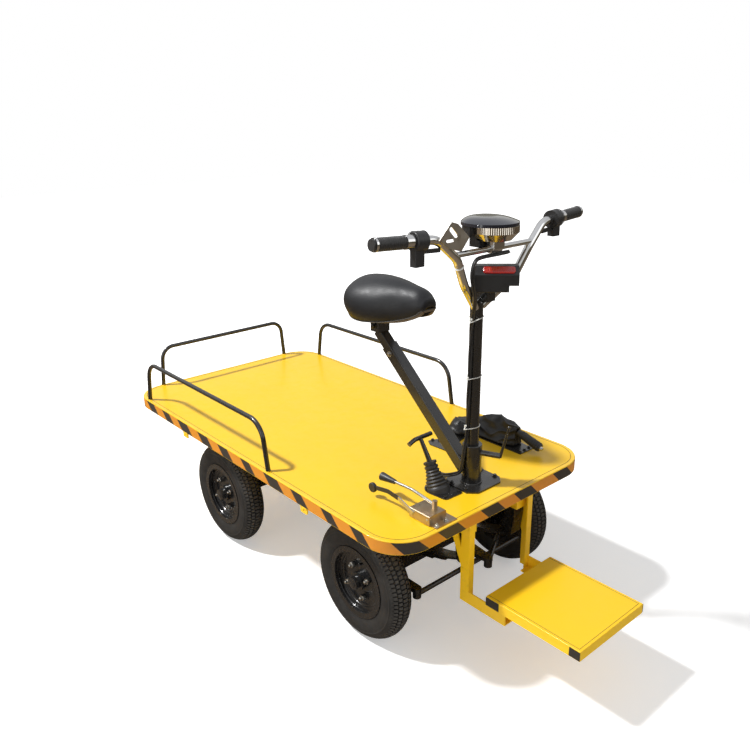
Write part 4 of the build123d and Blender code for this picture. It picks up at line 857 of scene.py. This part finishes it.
# Wiring: three cables in one bundle, from under the lamp down the column to the deck
LOOM_UPPER = (
    # forward of the column, across, above the deck
    (0.057, 0.060, 0.7087),
    (0.057, -0.072, 0.7087),
    (0.060, -0.096, 0.668),
    (0.050, -0.062, 0.600),
    (0.008, -0.0293, 0.505),
    (0.0, -0.0253, 0.146),
)
LOOM_LOWER = (
    (0, -0.0363, 0.140),
    (-0.006, -0.0366, 0.040),
    (-0.070, -0.046, 0.0113),
    (-0.116, -0.040, 0.0063),
)
UPPER_BENDS, LOWER_BENDS = (0.026, 0.060, 0.060, 0.120), (0.040, 0.040)
STRAND_RADIUS, STRAND_OFF = 0.0031, 0.0034
TIE_LEVELS = (0.525, 0.348, 0.190)
TIE_COLUMN, TIE_BUNDLE = 0.0193, 0.0070


def at_column(point):
    """A place given from the middle of the column on the deck."""
    return Vector((COLUMN_X + point[0], point[1], DECK_TOP + point[2]))


def loom_points():
    """The bundle's middle line, its two legs joined at the column's foot and relaxed."""
    upper = rounded([at_column(p) for p in LOOM_UPPER], UPPER_BENDS, 0.006)
    lower = rounded([at_column(p) for p in LOOM_LOWER], LOWER_BENDS, 0.006)
    joined = upper + [upper[-1].lerp(lower[0], 0.5)] + lower
    for _ in range(3):
        middles = [(a + b * 2 + c) / 4 for a, b, c in zip(joined, joined[1:], joined[2:])]
        joined = [joined[0]] + middles + [joined[-1]]
    return joined


def tie_ring(reach, heading, level):
    """A tie's loop, drawn tight round the column and the bundle beside it."""
    centre = Vector((COLUMN_X, 0, DECK_TOP))
    half = acos(min(1.0, (TIE_COLUMN - TIE_BUNDLE) / reach))
    ring = []
    for k in range(64):
        turn = heading + tau * k / 64
        off = tau * k / 64
        off = min(off, tau - off)
        distance = TIE_COLUMN
        if off < half:
            distance = 0.0
            if reach * sin(off) < TIE_BUNDLE:
                chord = sqrt(max(TIE_BUNDLE ** 2 - (reach * sin(off)) ** 2, 0.0))
                distance = reach * cos(off) + chord
            if half - off < 1.4:
                distance = max(distance, TIE_COLUMN / cos(half - off))
        rise = level + 0.002 * sin(turn)
        ring.append(centre + Vector((cos(turn) * distance, sin(turn) * distance, rise)))
    return ring


def make_looms():
    """The bundle of three strands, and its ties."""
    path = loom_points()
    runs = [0.0]
    for a, b in zip(path, path[1:]):
        runs.append(runs[-1] + (b - a).length)
    sides, side = [], UP
    for i, point in enumerate(path):
        tangent = (path[min(i + 1, len(path) - 1)] - path[max(i - 1, 0)]).normalized()
        side = (side - tangent * side.dot(tangent)).normalized()
        sides.append((side.copy(), tangent.cross(side)))
    bundle = Shape()
    for strand in range(3):
        line = []
        for point, run, (a, b) in zip(path, runs, sides):
            turn = tau * strand / 3 + run * 9.0 + 0.5 * sin(run * 31 + strand)
            line.append(point + (a * cos(turn) + b * sin(turn)) * STRAND_OFF)
        bundle.swept(line, STRAND_RADIUS, 10)
    loom = bundle.piece("wiring_bundle", "cable_black", None, smooth=60.0)
    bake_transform(loom)
    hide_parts("column_loom", "deck_loom")
    ties = Shape()
    for level in TIE_LEVELS:
        near = min(path, key=lambda p: abs(p.z - DECK_TOP - level))
        away = Vector((near.x - COLUMN_X, near.y, 0))
        heading = atan2(away.y, away.x)
        section = strip(-0.0005, 0.0007, 0.0021)
        ties.swept(tie_ring(away.length, heading, level), 0.0, closed=True, section=section, side=UP)
        lock = near + away.normalized() * 0.0085 + Vector((0, 0, 0.001))
        ties.block(lock, (0.006, 0.005, 0.005), 0.0008, Matrix.Rotation(heading, 3, "Z"))
    ties.piece("column_ties", "nylon_white", "steering")


# Handlebar: risers and cross bar, with rings and ribs on the grips and seams on the pods
BAR_PATH = (
    # forward of the column, out from the middle, above the deck
    (0.031, 0.410, 0.782),
    (0.050, 0.214, 0.774),
    (0.058, 0.148, 0.716),
    (0.046, 0.106, 0.640),
    (0.006, 0.014, 0.556),
)
BAR_BENDS = (0.062, 0.070, 0.090)
BAR_RADIUS, CROSS_RADIUS = 0.012, 0.008
GRIP_RINGS = ((0.001, 0.009, 0.0178), (0.093, 0.118, 0.0181))
RING_EDGE = 0.0012


def at_bar(index, way):
    """A stop of the handlebar's path, on the right where way is -1."""
    forward, out, high = BAR_PATH[index]
    return at_column((forward, way * out, high))


def make_bar():
    """The bent risers and their cross bar as smooth bright tubes, and a tie on the right riser."""
    bar = Shape()
    for way in (-1, 1):
        stops = [at_bar(index, way) for index in range(len(BAR_PATH))]
        bar.swept(rounded(stops, BAR_BENDS, 0.003), BAR_RADIUS, 40)
    ends = [Vector((COLUMN_X + 0.057, way * 0.150, DECK_TOP + 0.727)) for way in (-1, 1)]
    bar.swept([ends[0].lerp(ends[1], k / 40) for k in range(41)], CROSS_RADIUS, 28)
    smooth = bar.piece("bright_bar", "chrome", "steering", "chrome")
    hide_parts("handlebar")
    tie = Shape()
    along = (at_bar(3, -1) - at_bar(2, -1)).normalized()
    loop = circle(at_column((0.0546, -0.1360, 0.6942)), along, 0.0126, 40)
    tie.swept(loop, 0.0, closed=True, section=strip(-0.0004, 0.0008, 0.002), side=along)
    tie.piece("riser_tie", "nylon_white", "steering")


def make_bar_details():
    """Bright end rings and rubber ribs on the grips, and seams round the control pods."""
    rings, ribs, seams = Shape(), Shape(), Shape()
    for way in (-1, 1):
        tip = at_bar(0, way)
        axis = (at_bar(1, way) - tip).normalized()
        for first, last, radius in GRIP_RINGS:
            top = raised(first, last, RING_EDGE, radius - RING_EDGE, radius)
            rings.turned(tip, axis, ((first, 0.013), *top, (last, 0.013)), 40)
        for k in range(13):
            place = 0.014 + 0.0062 * k
            ribs.turned(tip, axis, raised(place, place + 0.0040, 0.0008, 0.0160, 0.0172), 32)
        for place in (0.121, 0.1375, 0.154):
            seams.turned(tip, axis, raised(place - 0.0009, place + 0.0009, 0.0004, 0.0250, 0.0259), 40)
    rings.piece("grip_rings", "chrome", "steering")
    ribs.piece("grip_ribs", "rubber", "steering")
    seams.piece("pod_seams", "black_plastic", "steering")


def make_lamp_details():
    """Upright flutes round the head lamp's lens and ribs on the warning lens."""
    flutes = Shape()
    points = node_points("lamp_lens")
    middle = Vector((LAMP_X, 0, 0))
    radius = max(hypot(p.x - middle.x, p.y) for p in points)
    outer = radius - 0.0008
    band = [p.z for p in points if hypot(p.x - middle.x, p.y) > outer and p.x > middle.x]
    top, bottom = max(band), min(band)
    levels = bottom + 0.0006, (top + bottom) / 2, top - 0.0006
    radius -= 0.0006
    for k in range(-16, 17):
        turn = radians(k * 5.2)
        foot = Vector((middle.x + radius * cos(turn), radius * sin(turn), 0))
        flutes.swept([foot + Vector((0, 0, z)) for z in levels], 0.0021, 8)
    flutes.piece("lamp_flutes", "clear_lens", "steering")
    place = Vector([(a + b) / 2 for a, b in zip(*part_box("alarm_lens"))])
    red = nodes["alarm_lens"]
    largest = max(red.data.polygons, key=lambda face: face.area)
    facing = (red.matrix_world.to_3x3() @ largest.normal).normalized()
    if facing.z < 0:
        facing = -facing
    across = Vector((0.7071, 0.7071, 0))
    down = facing.cross(across).normalized()
    ribs = Shape()
    top = max((p - place).dot(facing) for p in node_points("alarm_lens"))
    for k in range(-9, 10):
        spot = place + across * (k * 0.0043) + facing * (top - 0.0002)
        ribs.swept([spot - down * 0.0080, spot, spot + down * 0.0080], 0.0011, 6)
    ribs.piece("warning_ribs", "red_lens", "steering")


def bead(shape, path, radius, closed=False):
    """A weld bead: a rope of small uneven lumps."""
    line = []
    for a, b in zip(path, path[1:] + (path[:1] if closed else [])):
        pieces = max(1, int((b - a).length / 0.0018))
        line.extend(a.lerp(b, k / pieces) for k in range(pieces))
    if not closed:
        line.append(path[-1])
    radii = []
    for i in range(len(line)):
        radii.append(radius * (0.82 + 0.22 * abs(sin(i * 0.8)) + random.uniform(-0.05, 0.05)))
    shape.swept(line, radii, 8, closed=closed)


# Fastenings: places on the deck, metres
HANDBRAKE_BOLTS = ((0.444, 0.274), (0.444, 0.296), (0.442, 0.322), (0.181, 0.127), (0.199, 0.141))
CABLE_BOLTS = ((0.588, -0.265), (0.584, -0.226))
CABLE_RIVETS = ((0.512, 0.4777), (0.5656, 0.4757))
RIVET = ((0, 0), (0, 0.0040), (0.0012, 0.0036), (0.0022, 0.0020), (0.0025, 0))
HOOP_FEET = (
    (-0.863, -0.4215), (-0.009, -0.4215), (-0.863, 0.4215), (-0.009, 0.4215),
    (-0.983, -0.305), (-0.983, 0.305),
)


def make_fastenings():
    """Bolts and rivets on the deck, and weld beads at the column, the hoops and the tie tabs."""
    random.seed(11)
    bright, dark, yellow, black_weld = Shape(), Shape(), Shape(), Shape()
    base, plate = DECK_TOP + 0.005, DECK_TOP + 0.003
    for dx in (-0.029, 0.029):
        for y in (-0.056, 0.076):
            dark.bolt((COLUMN_X + dx, y, base), UP, 0.0056)
    for x, y in ((GEAR_X + 0.055, GEAR_Y - 0.023), (GEAR_X + 0.057, GEAR_Y + 0.028)):
        dark.bolt((x, y, plate), UP, 0.0046)
    for x, y in HANDBRAKE_BOLTS:
        dark.bolt((x, y, plate), UP, 0.0045)
    for x, y in CABLE_BOLTS:
        bright.bolt((x, y, plate), UP, 0.0048, 0.004)
    for x, z in CABLE_RIVETS:
        bright.turned((x, -0.2808, z), (0, -1, 0), RIVET, 16)
    bead(black_weld, circle((COLUMN_X, 0, base + 0.001), UP, 0.0308), 0.0032, closed=True)
    for x, y in HOOP_FEET:
        bead(yellow, circle((x, y, DECK_TOP + 0.0005), UP, 0.0088, 28), 0.0022, closed=True)
    for side in (-1, 1):
        for x in (-0.555, 0.194):
            level = DECK_TOP - RIM_HIGH - 0.0006
            bead(yellow, [Vector((x + 0.017 * k, side * 0.4329, level)) for k in (-1, 0, 1)], 0.0018)
    bright.piece("bright_bolts", "bright_rod")
    dark.piece("dark_bolts", "black_steel")
    yellow.piece("frame_welds", "yellow_paint")
    black_weld.piece("column_weld", "black_steel")


def darken_levers():
    """The cable control's knob, handle cone and outer half of the blade are black plastic."""
    node = nodes["control_levers"]
    node.data.materials.append(MATERIALS["black_plastic"])
    for face in node.data.polygons:
        place = node.matrix_world @ face.center
        if place.x < (0.4040 if place.y > -0.268 else 0.452):
            face.material_index = 1


def make_seat_details():
    """The seat post's clamp bolt and the strut's pinch bolt, each with its nut and stud."""
    bright, dark = Shape(), Shape()
    for shape, place, half, size, stud in (
        (dark, (0.0579, 0, 0.876), 0.0262, 0.0075, 0.008),
        (bright, (0.1260, 0, 0.7935), 0.0205, 0.0060, 0.006),
    ):
        shape.bolt(Vector(place) - Vector((0, half, 0)), (0, -1, 0), size)
        shape.bolt(Vector(place) + Vector((0, half, 0)), (0, 1, 0), size, stud)
    dark.piece("clamp_bolts", "black_steel")
    bright.piece("strut_bolts", "bright_rod")


def make_underside():
    """Bolts on the leaf springs, and the battery box's lid lines, straps and buckles."""
    straps, bright, seams = Shape(), Shape(), Shape()
    for axle_x, top in ((FRONT_AXLE_X, 0.2364), (REAR_AXLE_X, 0.2384)):
        for side in (-1, 1):
            for dx in (-0.026, 0.026):
                for dy in (-0.026, 0.026):
                    bright.bolt((axle_x + dx, side * RAIL_Y + dy, top), UP, 0.0052, 0.010)
    low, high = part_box("battery_box")
    lid = high[2] - 0.035
    x0, y0, x1, y1 = low[0] - 0.0006, low[1] - 0.0006, high[0] + 0.0006, high[1] + 0.0006
    for z in (lid, lid - 0.004):
        ring = [Vector((x, y, z)) for x, y in ((x0, y0), (x1, y0), (x1, y1), (x0, y1))]
        seams.swept(ring, 0.0014, 6, closed=True)
    for share in (0.25, 0.75):
        x = low[0] + (high[0] - low[0]) * share
        for y, way in ((low[1] - 0.0012, -1), (high[1] + 0.0012, 1)):
            straps.block((x, y, (low[2] + high[2]) / 2), (0.026, 0.0024, high[2] - low[2] - 0.004), 0.0008)
            bright.block((x, y + way * 0.002, lid - 0.02), (0.034, 0.004, 0.022), 0.0012)
    straps.piece("battery_straps", "black_steel")
    bright.piece("spring_bolts", "bright_rod")
    seams.piece("battery_seams", "black_plastic")


# Camera, floor and light
def make_camera():
    """The photograph's camera, from its solved place, yaw, pitch and roll."""
    forward = Vector((
        cos(CAMERA_YAW) * cos(CAMERA_PITCH),
        sin(CAMERA_YAW) * cos(CAMERA_PITCH),
        -sin(CAMERA_PITCH),
    ))
    right = Vector((sin(CAMERA_YAW), -cos(CAMERA_YAW), 0.0))
    up = right.cross(forward)
    rolled_right = right * cos(CAMERA_ROLL) + up * sin(CAMERA_ROLL)
    rolled_up = -right * sin(CAMERA_ROLL) + up * cos(CAMERA_ROLL)
    lens = bpy.data.cameras.new("photo_camera")
    lens.lens = CAMERA_LENS_MM
    lens.sensor_width = CAMERA_SENSOR_MM
    lens.clip_start, lens.clip_end = 0.05, 60.0
    camera = placed("photo_camera", lens)
    turned = Matrix((rolled_right, rolled_up, -forward)).transposed().to_4x4()
    camera.matrix_world = Matrix.Translation(CAMERA_PLACE) @ turned
    bpy.context.scene.camera = camera


def make_floor():
    """A pale floor that takes the shadow, brighter to the camera the farther it lies from the cart."""
    mesh = bpy.data.meshes.new("floor")
    far = 14.0
    mesh.from_pydata([(-far, -far, 0), (far, -far, 0), (far, far, 0), (-far, far, 0)], [], [(0, 1, 2, 3)])
    floor = placed("floor", mesh)
    n = Nodes("floor")
    path = n.add("ShaderNodeLightPath").outputs
    shade = n.mix(path["Is Glossy Ray"], (0.90, 0.90, 0.90), (0.20, 0.155, 0.11))
    n.set(rough=0.9, specular=0.0, color=shade)
    matt = n.shader.outputs["BSDF"]
    away = n.add("ShaderNodeVectorMath", {0: n.place}, operation="LENGTH").outputs["Value"]
    glow = n.add("ShaderNodeEmission", {"Strength": n.ramp(away, 1.2, 3.6, 0.36, 0.86)})
    seen = n.add("ShaderNodeAddShader", {0: matt, 1: glow.outputs["Emission"]}).outputs["Shader"]
    choice = n.add("ShaderNodeMixShader", {"Fac": path["Is Camera Ray"], 1: matt, 2: seen})
    n.feed(choice.outputs["Shader"], n.tree.nodes["Material Output"].inputs["Surface"])
    mesh.materials.append(n.material)


LAMPS = (
    # name, place, aim, size, power
    ("key", (-4.3, -4.9, 9.4), (0.0, 0.0, 0.4), 0.9, 1420.0),
    ("fill", (3.8, 1.2, 3.0), (0.2, 0.0, 0.4), 3.0, 22.0),
    ("low_right", (0.6, -4.2, 1.4), (0.0, 0.0, 0.3), 2.2, 24.0),
)
MIRROR_BANDS = (
    # share of the way up, brightness, blue against it
    (0.0, 0.10, 0.6), (0.12, 0.16, 0.6), (0.22, 0.85, 0.95), (0.55, 0.62, 1.05), (1.0, 0.80, 1.05),
)


def make_light():
    """A key from the right rear, two fills, and a pale world that bright parts mirror in bands."""
    for name, place, aim, size, power in LAMPS:
        lamp = bpy.data.lights.new(name, "AREA")
        lamp.shape = "DISK"
        lamp.size = size
        lamp.energy = power
        holder = placed(name, lamp)
        holder.location = place
        holder.rotation_euler = (Vector(aim) - Vector(place)).to_track_quat("-Z", "Y").to_euler()
    world = bpy.data.worlds.new("studio")
    bpy.context.scene.world = world
    world.use_nodes = True
    new, link = world.node_tree.nodes.new, world.node_tree.links.new
    path = new("ShaderNodeLightPath").outputs
    lit = world.node_tree.nodes["Background"]
    lit.inputs["Color"].default_value = (1.0, 1.0, 1.0, 1.0)
    lit.inputs["Strength"].default_value = 0.34
    seen = new("ShaderNodeBackground")
    seen.inputs["Color"].default_value = (1.0, 1.0, 1.0, 1.0)
    mirrored = new("ShaderNodeBackground")
    split = new("ShaderNodeSeparateXYZ")
    bands = new("ShaderNodeValToRGB")
    link(new("ShaderNodeTexCoord").outputs["Generated"], split.inputs["Vector"])
    link(split.outputs["Z"], bands.inputs["Fac"])
    stops = bands.color_ramp.elements
    for place, shade, blue in MIRROR_BANDS:
        stop = stops.new(place) if 0 < place < 1 else stops[0 if place == 0 else -1]
        stop.color = (shade, shade * (0.8 + 0.2 * blue), shade * blue, 1.0)
    link(bands.outputs["Color"], mirrored.inputs["Color"])
    source = lit.outputs["Background"]
    for flag, other in (("Is Glossy Ray", mirrored), ("Is Camera Ray", seen)):
        blend = new("ShaderNodeMixShader")
        link(path[flag], blend.inputs["Fac"])
        link(source, blend.inputs[1])
        link(other.outputs["Background"], blend.inputs[2])
        source = blend.outputs["Shader"]
    link(source, world.node_tree.nodes["World Output"].inputs["Surface"])


make_tape()
for name, x, y in WHEELS:
    make_tyre(name, x, y)
    make_wheel_details(name, x, y)
make_saddle()
make_boot()
make_looms()
make_bar()
make_bar_details()
make_seams()
make_lamp_details()
make_fastenings()
darken_levers()
make_seat_details()
make_underside()

make_camera()
make_floor()
make_light()
bpy.context.scene.view_settings.view_transform = "Standard"
